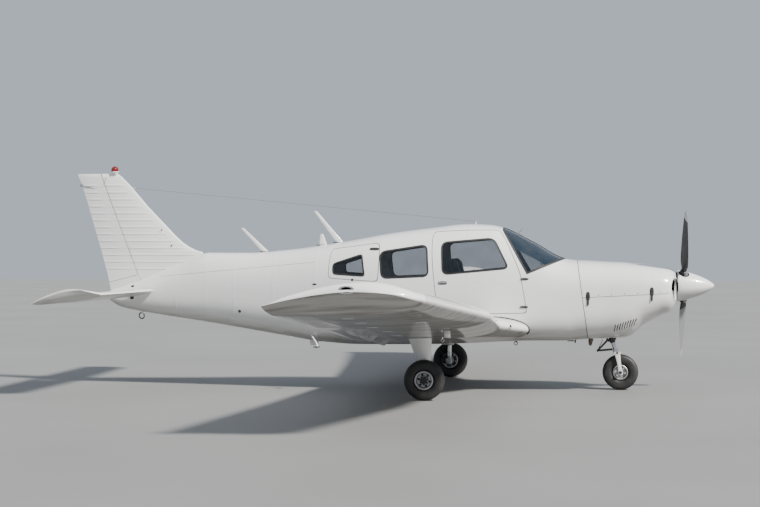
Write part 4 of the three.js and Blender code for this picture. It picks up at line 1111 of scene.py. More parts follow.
fin_whole = cut(loft(fin_rings()), hull_clearance)
rudder_top = RUDDER_LOW + 1.4 * RUDDER_WAY
rudder_region, rudder_cove = (
    common(hinged(RUDDER_LOW, rudder_top, (0, 1, 0), RUDDER_NOSE + grow, grow, 0.5, 0.9),
           prism([(-2.7, 1.310 + lift), (-3.7, 1.062 + lift), (-3.7, 2.6), (-2.7, 2.6)], -0.4, 0.4))
    for grow, lift in ((0.0, 0.008), (GAP, 0.0)))
fin_shape, rudder_shape = cut(fin_whole, rudder_cove), common(fin_whole, rudder_region)


def near_hinge(points):
    """True in the hinge gap: close to the hinge line, and well inside the skins."""
    inside = np.abs(points[:, 1]) < 0.55 * np.interp(points[:, 2], FIN[:, 0], FIN[:, 3])
    return inside & (np.abs(points[:, 0] - rudder_line(points[:, 2]) - 0.03) < 0.045)


# the faces in the hinge gap are dark steel as painted shade, for the gap gets little light
cove_shade_lining = (dark_steel, near_hinge)
piece("fin_skin", fin_shape, fin_paint, ["fin"], sharp=40, lining=cove_shade_lining)
piece("rudder_skin", rudder_shape, fin_paint, ["rudder"], body="rudder_body", sharp=40, lining=cove_shade_lining)

# %% [markdown]
# The whole tailplane turns about a tube that runs through the tail cone, and a narrow tab spans
# most of its trailing edge. Its tips are moulded caps with rounded front corners.

# %% Tailplane and tab
TAILPLANE = np.array([
    # distance out, leading edge x, z, trailing edge x, z, thickness, camber
    (0.168, -2.684, 1.088, -3.438, 0.976, 0.100, 0.000),
    (1.860, -2.744, 1.092, -3.438, 0.978, 0.100, 0.010),
    (1.950, -2.834, 1.116, -3.452, 0.985, 0.070, 0.045),
    (1.980, -2.936, 1.138, -3.472, 0.992, 0.030, 0.075),
])
CAP_START = 1.860        # where the moulded tips begin
TAB_HINGE, TAB_HALF = (-3.300, 0.995), 1.180


def tailplane_ring(y, lead_x, lead_z, trail_x, trail_z, thickness, camber):
    return section((lead_x, lead_z), (trail_x, trail_z), thickness, camber, y)


def tailplane(side):
    out = np.concatenate([np.linspace(0.168, CAP_START, 24), np.linspace(CAP_START, 1.98, 22)[1:]])
    rows = with_tip(TAILPLANE, CAP_START, out)
    return loft([tailplane_ring(side * y, *row) for y, row in zip(out, rows)])


tail_tube = rod(-0.3, 0.3, 0.030, STABILATOR_HINGE, (0, 1, 0))
tab_ends = [(TAB_HINGE[0], y, TAB_HINGE[1]) for y in (-TAB_HALF, TAB_HALF)]
tab_region, tab_cove = (hinged(*tab_ends, (0, 0, 1), 0.020 + grow, grow) for grow in (0.0, GAP))
tab_blank = loft([tailplane_ring(y, *TAILPLANE[0, 1:]) for y in np.linspace(-TAB_HALF, TAB_HALF, 60)])
halves = worked(tailplane(-1), "UNION", [tail_tube, tailplane(1)])
piece("tailplane_skin", cut(halves, tab_cove), surface_paint, ["stabilator"], body="stabilator_body")
piece("tab_skin", common(tab_blank, tab_region), surface_paint, ["anti_servo_tab"], body="tab_body")
# %% [markdown]
# Aircraft tyres are round and plain: a few grooves run round the tread, and nothing else. One
# profile is turned about the axle. Its crown follows a flattened oval, and a point inside a groove
# simply sits deeper, so the tread costs no extra modelling.

# %% Tyres
MAIN_AXLE = (0.576, 1.525, 0.210)
NOSE_AXLE = (2.602, 0.0, 0.197)
MAIN_TYRE = (0.210, 0.150, 0.096)       # radius, width, rim radius
NOSE_TYRE = (0.197, 0.124, 0.082)
OVAL = 0.75                             # 1 is an ellipse, less is boxier
GROOVE_HALF, GROOVE_DEPTH = 0.0032, 0.0055


def tyre(centre, size, grooves):
    radius, width, rim = size
    half, middle, reach = width / 2, (radius + rim) / 2, (radius - rim) / 2
    crown = 0.70 * half
    cuts = {at + share * GROOVE_HALF for at in grooves for share in (-1, -0.7, 0.7, 1)}
    profile = []
    for along in sorted(cuts | set(np.linspace(-crown, crown, 15))):
        share = abs(along / half) ** (2 / OVAL)
        deep = any(abs(along - at) < 0.8 * GROOVE_HALF for at in grooves)
        profile.append((along, middle + reach * (1 - share) ** (OVAL / 2) - deep * GROOVE_DEPTH))
    start = math.asin(0.70 ** (1 / OVAL))
    for turn in np.linspace(start, 2 * math.pi - start, 46)[1:-1]:
        sine, cosine = math.sin(turn), math.cos(turn)
        ridge = 0.0012 * max(0.0, 1 - abs(abs(cosine) - 0.42) / 0.05)
        profile.append((math.copysign(abs(sine) ** OVAL * half + ridge, sine),
                        middle + reach * math.copysign(abs(cosine) ** OVAL, cosine)))
    return turned(profile, centre, (0, 1, 0), 96, endless=True)


for label, side in SIDES.items():
    centre = (MAIN_AXLE[0], side * MAIN_AXLE[1], MAIN_AXLE[2])
    piece(f"main_tyre_rubber_{label}", tyre(centre, MAIN_TYRE, (-0.034, -0.012, 0.012, 0.034)), tyre_rubber,
          [f"main_tyre_{label}"], body=f"main_roller_{label}")
piece("nose_tyre_rubber", tyre(NOSE_AXLE, NOSE_TYRE, (-0.024, 0.0, 0.024)), tyre_rubber, ["nose_tyre"],
      body="nose_roller")

# %% [markdown]
# A wheel is two cast halves bolted together: bright flanges that hold the tyre, a dished web with
# lightening holes, and a boss for the bearings. The profile is turned about the axle and the holes
# are drilled. Repeated parts such as bolts are placed round the axle by one small helper.

# %% Wheels
WHEEL = [
    # distance outward, radius, for the main wheel
    (0.060, 0.024), (0.060, 0.039), (0.054, 0.042), (0.024, 0.046), (0.017, 0.052), (0.017, 0.068),
    (0.028, 0.0755), (0.050, 0.080), (0.060, 0.0815), (0.0635, 0.085), (0.0635, 0.093), (0.060, 0.0975),
    (0.054, 0.098), (0.050, 0.0955), (0.038, 0.091), (0.0, 0.086), (-0.038, 0.091), (-0.050, 0.0955),
    (-0.054, 0.098), (-0.060, 0.0975), (-0.0635, 0.093), (-0.0635, 0.085), (-0.056, 0.081), (-0.020, 0.077),
    (0.000, 0.070), (0.003, 0.054), (-0.010, 0.047), (-0.052, 0.043), (-0.060, 0.039), (-0.060, 0.024),
]
HEX = [(math.cos(turn), math.sin(turn)) for turn in turns(6)]


def round_axle(centre, axis, count, radius, make, start=0.0):
    """Copies round an axle; make gets a point, the axis and the way outward."""
    axis = unit(axis)
    side = unit(np.cross(axis, (0.2, 0.0, 1.0)))
    up = np.cross(axis, side)
    ways = [math.cos(turn) * side + math.sin(turn) * up for turn in start + turns(count)]
    return [make(np.asarray(centre) + radius * way, axis, way) for way in ways]


def bolt(point, way, size=0.006, height=0.005):
    """A hexagon head on a washer, standing on a point."""
    way = unit(way)
    side = unit(np.cross(way, (0.37, 0.21, 0.9)))
    up = np.cross(way, side)
    head = loft([[point + (lift - 0.001) * way + size * grip * (c * side + s * up) for c, s in HEX]
                 for lift, grip in ((0, 1), (height * 0.8, 1), (height, 0.82))])
    return rod(-0.001, 0.0012, size * 1.25, point, way, 14) + head


def wheel(centre, outward, scale, width_scale, holes):
    profile = [(along * width_scale, radius * scale) for along, radius in WHEEL]
    body = turned(profile, centre, outward, 72, endless=True)
    centre, outward, circle = np.asarray(centre), np.asarray(outward), 0.0605 * scale
    drills = round_axle(centre, outward, holes, circle,
                        lambda point, axis, way: rod(-0.06, 0.06, 0.0118 * scale, point, axis, 20))
    bolts = round_axle(centre + 0.0165 * width_scale * outward, outward, holes, circle,
                       lambda point, axis, way: bolt(point, axis, 0.0058), math.pi / holes)
    valve = tube([centre + np.array((0.05, 0, 0.045)) * scale + along * outward
                  for along in (0.018, 0.034, 0.048)], (0.0035, 0.0035, 0.003), 10)
    return cut(body, *drills) + together(bolts) + valve


def hub_seal(centre, outward, width_scale, scale):
    lift, rim = 0.060 * width_scale, 0.034 * scale
    return turned([(lift - 0.006, rim), (lift + 0.002, rim), (lift + 0.004, 0.030 * scale),
                   (lift + 0.004, 0.0225), (lift - 0.006, 0.0225)], centre, outward, 40, endless=True)


def main_cap(centre, outward, lift=0.060, radius=0.037, bolts=7):
    """The closed cap over the axle's end, with its ring of bolts."""
    cap = turned([(lift - 0.006, radius), (lift + 0.0015, radius), (lift + 0.004, radius - 0.006),
                  (lift + 0.005, 0.010)], centre, outward, 40)
    ring = round_axle(np.asarray(centre) + lift * np.asarray(outward), outward, bolts, radius,
                      lambda point, axis, way: bolt(point, axis, 0.0075, 0.005))
    return cap + together(ring)


for label, side in SIDES.items():
    centre, outward = (MAIN_AXLE[0], side * MAIN_AXLE[1], MAIN_AXLE[2]), (0, side, 0)
    body = f"main_roller_{label}"
    piece(f"main_wheel_casting_{label}", wheel(centre, outward, 1, 1, 6), cast_alloy,
          [f"main_wheel_{label}"], body=body)
    piece(f"main_hub_cap_{label}", main_cap(centre, outward), dial_black, body=body)
    disc = turned([(-0.0665, 0.045), (-0.0665, 0.084), (-0.060, 0.084), (-0.060, 0.045)], centre, outward,
                  64, endless=True)
    piece(f"brake_disc_{label}", disc, dark_steel, body=body, bevel=0.0006)
    keys = round_axle(centre, outward, 6, 0.072, lambda point, axis, way: turned(
        [(-0.071, 0.0075), (-0.0695, 0.0095), (-0.062, 0.0095)], point, axis, 16))
    piece(f"brake_keys_{label}", together(keys), cast_alloy, body=body)
for label, side in SIDES.items():
    piece(f"nose_hub_seal_{label}", hub_seal(NOSE_AXLE, (0, side, 0), 0.80, 0.86), dark_steel,
          body="nose_roller")
nose_body = wheel(NOSE_AXLE, (0, -1, 0), 0.855, 0.80, 6)
piece("nose_wheel_casting", nose_body, cast_alloy, ["nose_wheel"], body="nose_roller")

# %% [markdown]
# A main leg is a tube inside a white fairing, with a shock strut below it: a bright piston, a
# casting that carries the axle, and two links behind that keep the wheel straight. A disc brake
# sits inboard of the wheel, with its caliper on the casting and its hose running up the leg. The
# fairing is a loft of pointed ovals, cut to fit under the wing, and the narrow gap left under the
# wing is filled with a black band as painted shade.

# %% Main legs
LEG_INSET = 0.128
FAIRING = np.array([
    # height, front x, back x, half width
    (0.402, 0.634, 0.482, 0.046),
    (0.634, 0.640, 0.398, 0.062),
    (0.760, 0.640, 0.398, 0.062),
])
LEG_GAP = 0.004


def fairing_ring(z, front, back, half, y, points=48):
    c, s = np.cos(turns(points)), np.sin(turns(points))
    taper = 1 - 0.16 * np.maximum(0, -c)
    return np.column_stack([(front + back) / 2 + (front - back) / 2 * c, y + half * s * taper,
                            np.full(points, z)])


def fairing(y, inset=0.0):
    heights = np.concatenate([[0.402, 0.404, 0.410], np.linspace(0.42, 0.76, 18)])
    rings = []
    for z, (front, back, half) in zip(heights, straight(FAIRING, heights)):
        pull = inset + (0.004 if z < 0.403 else 0.001 if z < 0.405 else 0.0)
        rings.append(fairing_ring(z, front - pull, back + pull, half - pull, y))
    return loft(rings)


def strap(start, end, half_start, half_end, thickness, wide_way=(0, 1, 0)):
    """A flat link from one point to another, with its own half width at each."""
    start, end = np.asarray(start, float), np.asarray(end, float)
    way = unit(end - start)
    flat = unit(wide_way)
    thick = np.cross(way, flat) * thickness / 2
    return loft([[point + u * half * flat + v * thick for u, v in ((-1, -1), (1, -1), (1, 1), (-1, 1))]
                 for point, half in ((start, half_start), (end, half_end))])


for label, side in SIDES.items():
    y = side * (MAIN_AXLE[1] - LEG_INSET)
    low_wing, lifted_wing = (wing(side, extra, 1.20, 1.60, 0.05) for extra in (SLIT, LEG_GAP))
    bore = rod(0, 0.12, 0.0303, (MAIN_AXLE[0], y, 0.38), (0, 0, 1))
    piece(f"leg_fairing_{label}", cut(fairing(y), lifted_wing, bore), fitting_paint, [f"main_leg_{label}"])
    # a black band in the gap between fairing and wing: painted shade of the gap
    gap_shade_band = common(cut(fairing(y, 0.003), low_wing), brick((0.3, y - 0.1, 0.60), (0.7, y + 0.1, 0.76)))
    piece(f"leg_gap_shade_{label}", gap_shade_band, seal_rubber)
    x, z = MAIN_AXLE[0], MAIN_AXLE[2]
    piece(f"oleo_piston_{label}", rod(0.240, 0.420, 0.0285, (x, y, 0), (0, 0, 1), 40), bare_steel)
    out = np.array((0, side, 0))
    casting = turned([(0.172, 0.020), (0.178, 0.028), (0.190, 0.0325), (0.236, 0.0325), (0.246, 0.0300),
                      (0.262, 0.0300)], (x, y, 0), (0, 0, 1), 40)
    axle_bar = turned([(-0.034, 0.018), (-0.030, 0.024), (0.034, 0.026), (0.040, 0.020), (0.186, 0.020),
                       (0.190, 0.017)], (x, y, z), out, 32)
    brake_plate = rod(0.030, 0.037, 0.050, (x, y, z), out, 40)
    gland = turned([(0.392, 0.036), (0.398, 0.039), (0.412, 0.039)], (x, y, 0), (0, 0, 1), 40)
    piece(f"axle_casting_{label}", casting + axle_bar + brake_plate + gland, cast_alloy,
          [f"main_axle_{label}"])
    knee = np.array((x - 0.118, y, 0.318))
    links = [strap((x - 0.022, y, height), knee, 0.030, 0.013, 0.014) for height in (0.402, 0.246)]
    links += [rod(-0.034, 0.034, 0.012, (x - 0.028, y, height), (0, 1, 0), 20)
              for height in (0.246, 0.402)]
    links.append(rod(-0.026, 0.026, 0.010, knee, (0, 1, 0), 20))
    links += [bolt(knee + 0.026 * way, way, 0.008, 0.007) for way in (out, -out)]
    piece(f"torque_links_{label}", together(links), dark_steel, bevel=0.0012)
    wheel_y = MAIN_AXLE[1]
    pad_outline = rounded(oblong(x - 0.104, x - 0.050, z - 0.036, z + 0.036), 0.012)
    pads = across(pad_outline, side, wheel_y - 0.0695, wheel_y - 0.084)
    bridge_outline = oblong(x - 0.104, x - 0.089, z - 0.026, z + 0.026)
    bridge = across(bridge_outline, side, wheel_y - 0.058, wheel_y - 0.071)
    cups = together(turned([(0.083, 0.014), (0.094, 0.014), (0.097, 0.010)],
                           (x - 0.076, side * wheel_y, z + shift), -out, 24) for shift in (-0.017, 0.017))
    piece(f"brake_caliper_{label}", pads + bridge + cups, dark_steel, bevel=0.0015)
    hose = tube([(x - 0.080, y + side * 0.036, z + 0.030), (x - 0.092, y + side * 0.032, z + 0.075),
                 (x - 0.092, y + side * 0.020, z + 0.130), (x - 0.070, y + side * 0.012, z + 0.180),
                 (x - 0.064, y + side * 0.008, z + 0.215)], 0.0042, 12)
    piece(f"brake_hose_{label}", hose, seal_rubber)

# %% [markdown]
# The nose leg leans back. Its housing is bolted to the front wall and braced to it; inside turns
# the strut, whose bright piston shows between the collar and the fork. The torque link behind has a
# wide knee. The fork's two flat arms hold the axle's ends, which stick out as pegs for a tow bar.

# %% Nose leg
FORK_HALF = 0.084
LINK_KNEE = np.array((2.352, 0, 0.432))


def on_strut(profile, steps=40):
    return turned(profile, STEER_POINT, STEER_UP, steps)


housing = on_strut([(0.172, 0.040), (0.174, 0.050), (0.180, 0.052), (0.196, 0.052), (0.200, 0.047),
                    (0.280, 0.047), (0.284, 0.052), (0.300, 0.052), (0.304, 0.047), (0.372, 0.047),
                    (0.380, 0.042)])
bore = on_strut([(0.10, 0.036), (0.45, 0.036)])
braces = together(tube([(2.152, side * 0.160, 0.968), steer_at(0.36) + (-0.044, side * 0.02, 0)], 0.016, 16)
                  for side in (-1, 1))
lugs = together(bolt(steer_at(along) + 0.051 * np.array((0, side, 0)), (0, side, 0), 0.009, 0.008)
                for along in (0.19, 0.29) for side in (-1, 1))
piece("nose_housing", cut(housing + braces, bore, behind_firewall(SLIT)) + lugs, dark_steel,
      ["nose_gear_mount"], bevel=0.001)
strut = on_strut([(0.108, 0.024), (0.112, 0.031), (0.128, 0.031), (0.130, 0.046), (0.134, 0.048),
                  (0.154, 0.048), (0.160, 0.044), (0.162, 0.030), (0.400, 0.030)])
HIGH_LUG, LOW_LUG = steer_at(0.146), steer_at(0.030)
lug_pins = together(rod(-0.040, 0.040, 0.011, point, (0, 1, 0), 20)
                    for point in (HIGH_LUG + (-0.052, 0, 0), LOW_LUG + (-0.040, 0, 0), LINK_KNEE))
arms = together(strap(lug + (-back, side * 0.026, 0), LINK_KNEE + (0, side * 0.012, 0), 0.008, 0.007, 0.020)
                for lug, back in ((HIGH_LUG, 0.040), (LOW_LUG, 0.030)) for side in (-1, 1))
webs = together(strap(lug + (-back, 0, 0), LINK_KNEE, 0.026, 0.010, 0.006)
                for lug, back in ((HIGH_LUG, 0.100), (LOW_LUG, 0.094)))
piece("nose_strut_steel", strut + lug_pins + arms + webs, dark_steel, ["nose_strut"], body="nose_leg",
      bevel=0.0008)
piece("nose_piston", on_strut([(0.004, 0.0225), (0.115, 0.0225)]), bare_steel, body="nose_leg")


def fork_arm(side):
    stations = [
        # x, z, half length, half thickness
        (2.604, 0.168, 0.016, 0.005), (2.603, 0.180, 0.024, 0.006), (2.602, 0.197, 0.026, 0.006),
        (2.600, 0.216, 0.022, 0.006), (2.594, 0.257, 0.019, 0.006), (2.583, 0.320, 0.022, 0.006),
        (2.572, 0.380, 0.028, 0.006), (2.566, 0.412, 0.032, 0.006), (2.564, 0.424, 0.030, 0.005)]
    u, v = (np.sign(wave) * np.abs(wave) ** 0.6 for wave in (np.cos(turns(24)), np.sin(turns(24))))
    return loft([np.column_stack([x + half * u, side * FORK_HALF + thick * v, np.full(24, z)])
                 for x, z, half, thick in stations])


crown_outline = rounded([(2.526, 0.400), (2.606, 0.400), (2.600, 0.428), (2.532, 0.428)], 0.010)
crown = prism(crown_outline, -FORK_HALF - 0.006, FORK_HALF + 0.006)
socket = on_strut([(-0.012, 0.036), (0.026, 0.033), (0.030, 0.028)])
crown_bolts = together(bolt(np.array((2.566, side * (FORK_HALF + 0.006), 0.414)), (0, side, 0), 0.009,
                            0.006)
                       for side in (-1, 1))
piece("nose_fork_paint", fork_arm(-1) + fork_arm(1) + crown + socket, fitting_paint, ["nose_fork"],
      body="nose_leg", bevel=0.0015)
peg_line = [(0.076, 0.020), (0.090, 0.020), (0.092, 0.017), (0.098, 0.017), (0.100, 0.015)]
pegs = together(turned(peg_line, NOSE_AXLE, (0, side, 0), 28)
                + bolt(NOSE_AXLE + np.array((0, side * 0.0915, 0)), (0, side, 0), 0.013, 0.006)
                for side in (-1, 1))
nose_bar = rod(-0.080, 0.080, 0.019, NOSE_AXLE, (0, 1, 0), 24)
piece("nose_axle_steel", pegs + nose_bar + crown_bolts, dark_steel, body="nose_leg")
# %% [markdown]
# Each blade is a loft of thin sections that turn as they go out. They are round at the shank, and
# further out have a blunt front edge and a fine back edge. The table gives chord, thickness and
# pitch along the radius.

# %% Propeller
PROP_TILT = math.radians(-31)
PROP_CENTRE = np.array((PROP_X, 0, PROP_Z))
BLADE = np.array([
    # radius, chord, thickness, pitch in degrees, 0 for a round section or 1 for a blade's
    (0.150, 0.066, 0.056, 40, 0.0),
    (0.205, 0.070, 0.044, 40, 0.2),
    (0.270, 0.118, 0.030, 37, 0.8),
    (0.380, 0.150, 0.024, 30, 1.0),
    (0.560, 0.158, 0.017, 23, 1.0),
    (0.740, 0.142, 0.012, 18, 1.0),
    (0.870, 0.112, 0.008, 15, 1.0),
    (0.925, 0.074, 0.006, 14, 1.0),
    (0.940, 0.034, 0.004, 14, 1.0),
])
BLADE_POINTS = 36


def blade(turn, low=0.150, high=0.940, grow=0.0, spacing=0.012):
    out = np.array((0, math.sin(turn), math.cos(turn)))
    sideways = np.array((0, math.cos(turn), -math.sin(turn)))
    radii = np.linspace(low, high, int((high - low) / spacing) + 2)
    u, sine = np.cos(turns(BLADE_POINTS)), np.sin(turns(BLADE_POINTS))
    rings = []
    for radius, (chord, thickness, pitch, shaped) in zip(radii, monotone(BLADE, radii)):
        angle = math.radians(pitch)
        along = sideways * math.cos(angle) - np.array((1, 0, 0)) * math.sin(angle)
        thick = np.cross(out, along)
        v = sine * (1 - shaped * (0.28 * u + 0.10))
        rings.append(PROP_CENTRE + radius * out + np.outer((0.5 * chord + grow) * u, along)
                     + np.outer((0.5 * thickness + grow) * v, thick))
    return loft(rings)


def blades(*sizes):
    return together(blade(turn, *sizes) for turn in (PROP_TILT, PROP_TILT + math.pi))


prop_way = np.array((0, math.sin(PROP_TILT), math.cos(PROP_TILT)))
shank_line = [(-0.200, 0.030), (-0.196, 0.042), (0.196, 0.042), (0.200, 0.030)]
shank = turned(shank_line, PROP_CENTRE, prop_way, 40)
piece("propeller_blades", blades() + shank, blade_paint, ["propeller"],
      body="prop", sharp=50)
piece("blade_root_bands", blades(0.190, 0.285, 0.0006, 0.005), dial_black, body="prop", sharp=50)
piece("blade_tips", blades(0.842, 0.939, 0.00045, 0.006), polished_tip, body="prop", sharp=50)

# %% [markdown]
# The spinner is a spun metal shell that covers the hub. It is turned from the same curve as the
# solid, with openings for the blades' roots, a back plate behind it and a ring of screws near its
# rim, each a small dome.

# %% Spinner
SPINNER_BASE, SPINNER_RADIUS, NOSE_TIP = 3.222, 0.174, 3.625
SPINNER_LONG = NOSE_TIP - SPINNER_BASE


def spinner_radius(share):
    return SPINNER_RADIUS * (1 - share ** 1.3) ** 0.66


def off_shaft(points):
    return np.hypot(points[:, 1], points[:, 2] - PROP_Z)


def pocket_floor(points):
    """True for faces inside the spinner's openings, below its skin."""
    share = (points[:, 0] - SPINNER_BASE).clip(0, 0.4) / SPINNER_LONG
    return off_shaft(points) < 0.985 * spinner_radius(share) - 0.004


shares = np.concatenate([np.linspace(0, 0.95, 46), 1 - np.geomspace(0.05, 0.0004, 14)[1:]])
shell_line = [(share * SPINNER_LONG, spinner_radius(share)) for share in shares[1:]]
spinner_shape = turned([(0.0, 0.02), (0.0, 0.158), (0.0015, 0.1725), *shell_line],
                       (SPINNER_BASE, 0, PROP_Z), (1, 0, 0), 96)
shank_holes = rod(-0.4, 0.4, 0.0445, PROP_CENTRE, prop_way, 48)
pockets = [rod(0.110, 0.400, 0.060, PROP_CENTRE, prop_way * sign, 48) for sign in (-1, 1)]
shell = cut(spinner_shape, shank_holes, *pockets)
piece("spinner_shell", shell, surface_paint, ["spinner"], body="prop", lining=(dark_steel, pocket_floor))
cuffs = together(turned([(0.111, 0.0445), (0.111, 0.056), (0.126, 0.056), (0.130, 0.050), (0.148, 0.049),
                         (0.150, 0.0445)], PROP_CENTRE, prop_way * sign, 48, endless=True)
                 for sign in (-1, 1))
piece("blade_clamps", cuffs, dark_steel, body="prop")
back_plate = turned([(-0.0012, 0.060), (-0.0012, 0.1725), (0.0028, 0.1748), (0.006, 0.1748),
                     (0.006, 0.060)],
                    (SPINNER_BASE, 0, PROP_Z), (1, 0, 0), 96, endless=True)
piece("spinner_back_plate", back_plate, bare_steel, body="prop")
teeth = [(0.150 if degree % 3 else 0.144, turn) for degree, turn in enumerate(turns(360))]
gear_ring = [[(x, radius * math.cos(turn), PROP_Z + radius * math.sin(turn)) for radius, turn in teeth]
             for x in (3.2095, 3.2175)]
gear = cut(loft(gear_ring), rod(-0.02, 0.04, 0.075, (3.21, 0, PROP_Z), (1, 0, 0), 48))
piece("starter_ring_gear", gear, dark_steel, body="prop")


def dome(point, way, radius, height):
    """A low round head, closed underneath and sunk a little into what it sits on."""
    return turned([(-0.0008, radius), (height * 0.25, radius * 0.96), (height * 0.75, radius * 0.66),
                   (height, radius * 0.12)], point, way, 10)


SCREW_X = 0.0265        # behind the rim
screws = []
for degrees in (32, 61, 90, 119, 148, 212, 241, 270, 299, 328):
    turn = math.radians(degrees + 90) - PROP_TILT
    outward = np.array((0, math.cos(turn), math.sin(turn)))
    at = (SPINNER_BASE + SCREW_X, 0, PROP_Z) + spinner_radius(SCREW_X / SPINNER_LONG) * outward
    screws.append(dome(at, outward, 0.0048, 0.0016))
piece("spinner_screws", together(screws), bare_steel, body="prop")

# %% [markdown]
# The engine is closed in, and only shows dimly through the two inlets and the outlet. It is still
# made as what it is, a crankcase with two finned cylinders lying on each side, because a plain block
# would show as one. The fins are one zigzag profile turned about the cylinder.

# %% Engine and exhaust
CYLINDER_X = (2.640, 2.860)
ENGINE_Z = 1.085         # height of the crankcase's middle
case_outline = rounded([(-1, -1), (1, -1), (1, 1), (-1, 1)], 0.45)
case_sizes = ((2.46, 0.09, 0.10), (2.49, 0.12, 0.13), (3.02, 0.12, 0.13), (3.06, 0.08, 0.09))
case = loft([[(x, y * wide, ENGINE_Z + z * tall) for y, z in case_outline] for x, wide, tall in case_sizes])
fin_line = [(0.10, 0.070)]
for count in range(12):
    along = 0.118 + count * 0.0125
    fin_line += [(along, 0.062), (along + 0.001, 0.082), (along + 0.0035, 0.082), (along + 0.0045, 0.062)]
fin_line += [(0.272, 0.066), (0.290, 0.060), (0.297, 0.045)]
cylinders = together(turned(fin_line, (x + side * 0.03, 0, ENGINE_Z), (0, side, 0), 24)
                     for x in CYLINDER_X for side in (-1, 1))
risers = together(tube([(x, side * 0.235, 1.02), (x - 0.01, side * 0.235, 0.965),
                        (x - 0.04, side * 0.17, 0.944),
                        (2.60, side * 0.08, 0.942)], 0.020, 14) for x in CYLINDER_X for side in (-1, 1))
engine_shaft = turned([(3.050, 0.055), (3.180, 0.055), (3.184, 0.060), (3.207, 0.060)], (0, 0, PROP_Z),
                      (1, 0, 0))
mounts = together(tube([(x, side * y, ENGINE_Z) for x, y in ((2.152, 0.200), (2.30, 0.185), (2.470, 0.10))],
                       0.020, 14) for side in (-1, 1))
engine = cut(case + cylinders + risers + engine_shaft + mounts, behind_firewall(SLIT))
piece("engine", engine, dark_steel, ["engine_block"])
pipe_way = [(2.300, -0.110, 0.700), (2.296, -0.110, 0.640), (2.286, -0.110, 0.585), (2.272, -0.110, 0.535),
            (2.258, -0.110, 0.500)]
pipe = cut(tube(pipe_way, 0.026, 36), tube([*pipe_way[1:], (2.248, -0.110, 0.478)], 0.0235, 30),
           behind_firewall(SLIT))
piece("exhaust", pipe, hot_steel, ["exhaust_pipe"])
# %% [markdown]
# A seat cushion is a cover sewn to size and stuffed, so its faces bulge and its sides pull in
# between the corners. A block with rounded edges won't do that, but cloth will: a slightly smaller
# block is remeshed evenly, blown up as cloth with gravity off, and frozen. How far a point may move
# is capped, so that the seat keeps its size.

# %% Padding
VOXEL = 0.0065
PRESSURE = 4.0
CAP = 0.022              # the furthest a point may move
FRAMES_RUN = 20


def shape_of(made):
    done = made.evaluated_get(bpy.context.evaluated_depsgraph_get()).to_mesh()
    return Shape([vertex.co[:] for vertex in done.vertices], [face.vertices[:] for face in done.polygons])


def stuffed(shape, voxel=VOXEL):
    """The shape as a stuffed cover."""
    block = bpy.data.objects.new("stuffing", as_mesh("stuffing", shape))
    bpy.context.scene.collection.objects.link(block)
    even = block.modifiers.new("even", "REMESH")
    even.mode, even.voxel_size = "VOXEL", voxel
    rest = shape_of(block)
    bpy.data.objects.remove(block)
    cover = bpy.data.objects.new("cover", as_mesh("cover", rest))
    bpy.context.scene.collection.objects.link(cover)
    cloth = cover.modifiers.new("cloth", "CLOTH")
    cloth.settings.quality = 4
    cloth.settings.use_pressure = True
    cloth.settings.uniform_pressure_force = PRESSURE
    cloth.settings.effector_weights.gravity = 0
    for frame in range(1, FRAMES_RUN + 1):
        bpy.context.scene.frame_set(frame)
    blown = shape_of(cover)
    bpy.data.objects.remove(cover)
    bpy.context.scene.frame_set(1)
    shift = blown.corners - rest.corners
    length = np.linalg.norm(shift, axis=1, keepdims=True)
    shift *= np.minimum(1, CAP / np.maximum(length, 1e-9))
    print("stuffed", len(rest.faces), "faces, moved at most", round(float(length.max()), 4))
    return Shape(rest.corners + shift, rest.faces)


def pressed(shape, channels, facing, depth=0.006, width=0.007):
    """Sewn channels: each is a function giving a point's distance from its line of stitches."""
    mesh = as_mesh("normals", shape)
    toward = np.array([normal.vector[:] for normal in mesh.vertex_normals]) @ unit(facing)
    bpy.data.meshes.remove(mesh)
    for distance in channels:
        dip = depth * np.exp(-(distance(shape.corners) / width) ** 2) * np.clip(toward * 2 - 0.6, 0, 1)
        shape.corners = shape.corners - dip[:, None] * unit(facing)
    return shape


def stack(outline, place):
    """A block with soft edges: an outline at several depths; place(u, v, depth) gives each point."""
    levels = ((0.03, 0.024), (0.12, 0.008), (0.28, 0.0), (0.72, 0.0), (0.88, 0.008), (0.97, 0.024))
    return loft([[place(u, v, depth) for u, v in rounded(grown(outline, -0.011 - inset), 0.045)]
                 for depth, inset in levels])


def surface(shape):
    return BVHTree.FromPolygons([tuple(corner) for corner in shape.corners], shape.faces)


def piping(outline, place, depth, skin, radius=0.0042):
    """A cord sewn into the edge seam, laid on the stuffed surface."""
    line = rounded(grown(outline, -0.020), 0.045, 5)
    points = [np.array(skin.find_nearest(Vector(place(u, v, depth)))[0]) for u, v in line]
    return tube([*points, points[0], points[1]], radius, 8)


print("padding ready, in squares of", VOXEL * 1000, "mm")

# %% [markdown]
# The same two pads, a cushion and a back, make the front seats and, wider, the rear bench. The left
# front seat is the right one moved across, which halves the simulation. Each back has upright
# channels and each cushion has them fore and aft.

# %% Seats
SEATS = {
    # name: back x of the cushion, y, half width of the frame, of the cushion, of the back, channels
    "front_right": (0.800, -0.245, 0.150, 0.205, 0.182, (-0.095, 0.0, 0.095)),
    "rear": (-0.060, 0.0, 0.350, 0.420, 0.396, (-0.300, -0.150, 0.0, 0.150, 0.300)),
}
SEAT_LOW, SEAT_TOP, BACK_LOW, BACK_TOP = 0.791, 0.920, 0.922, 1.480
SEAT_DEEP = 0.480        # the cushion, fore and aft
SEAT_LEGS = ((0.060, 0.61), (0.060, 0.74), (0.085, 0.772), (0.395, 0.772), (0.420, 0.74), (0.420, 0.61))


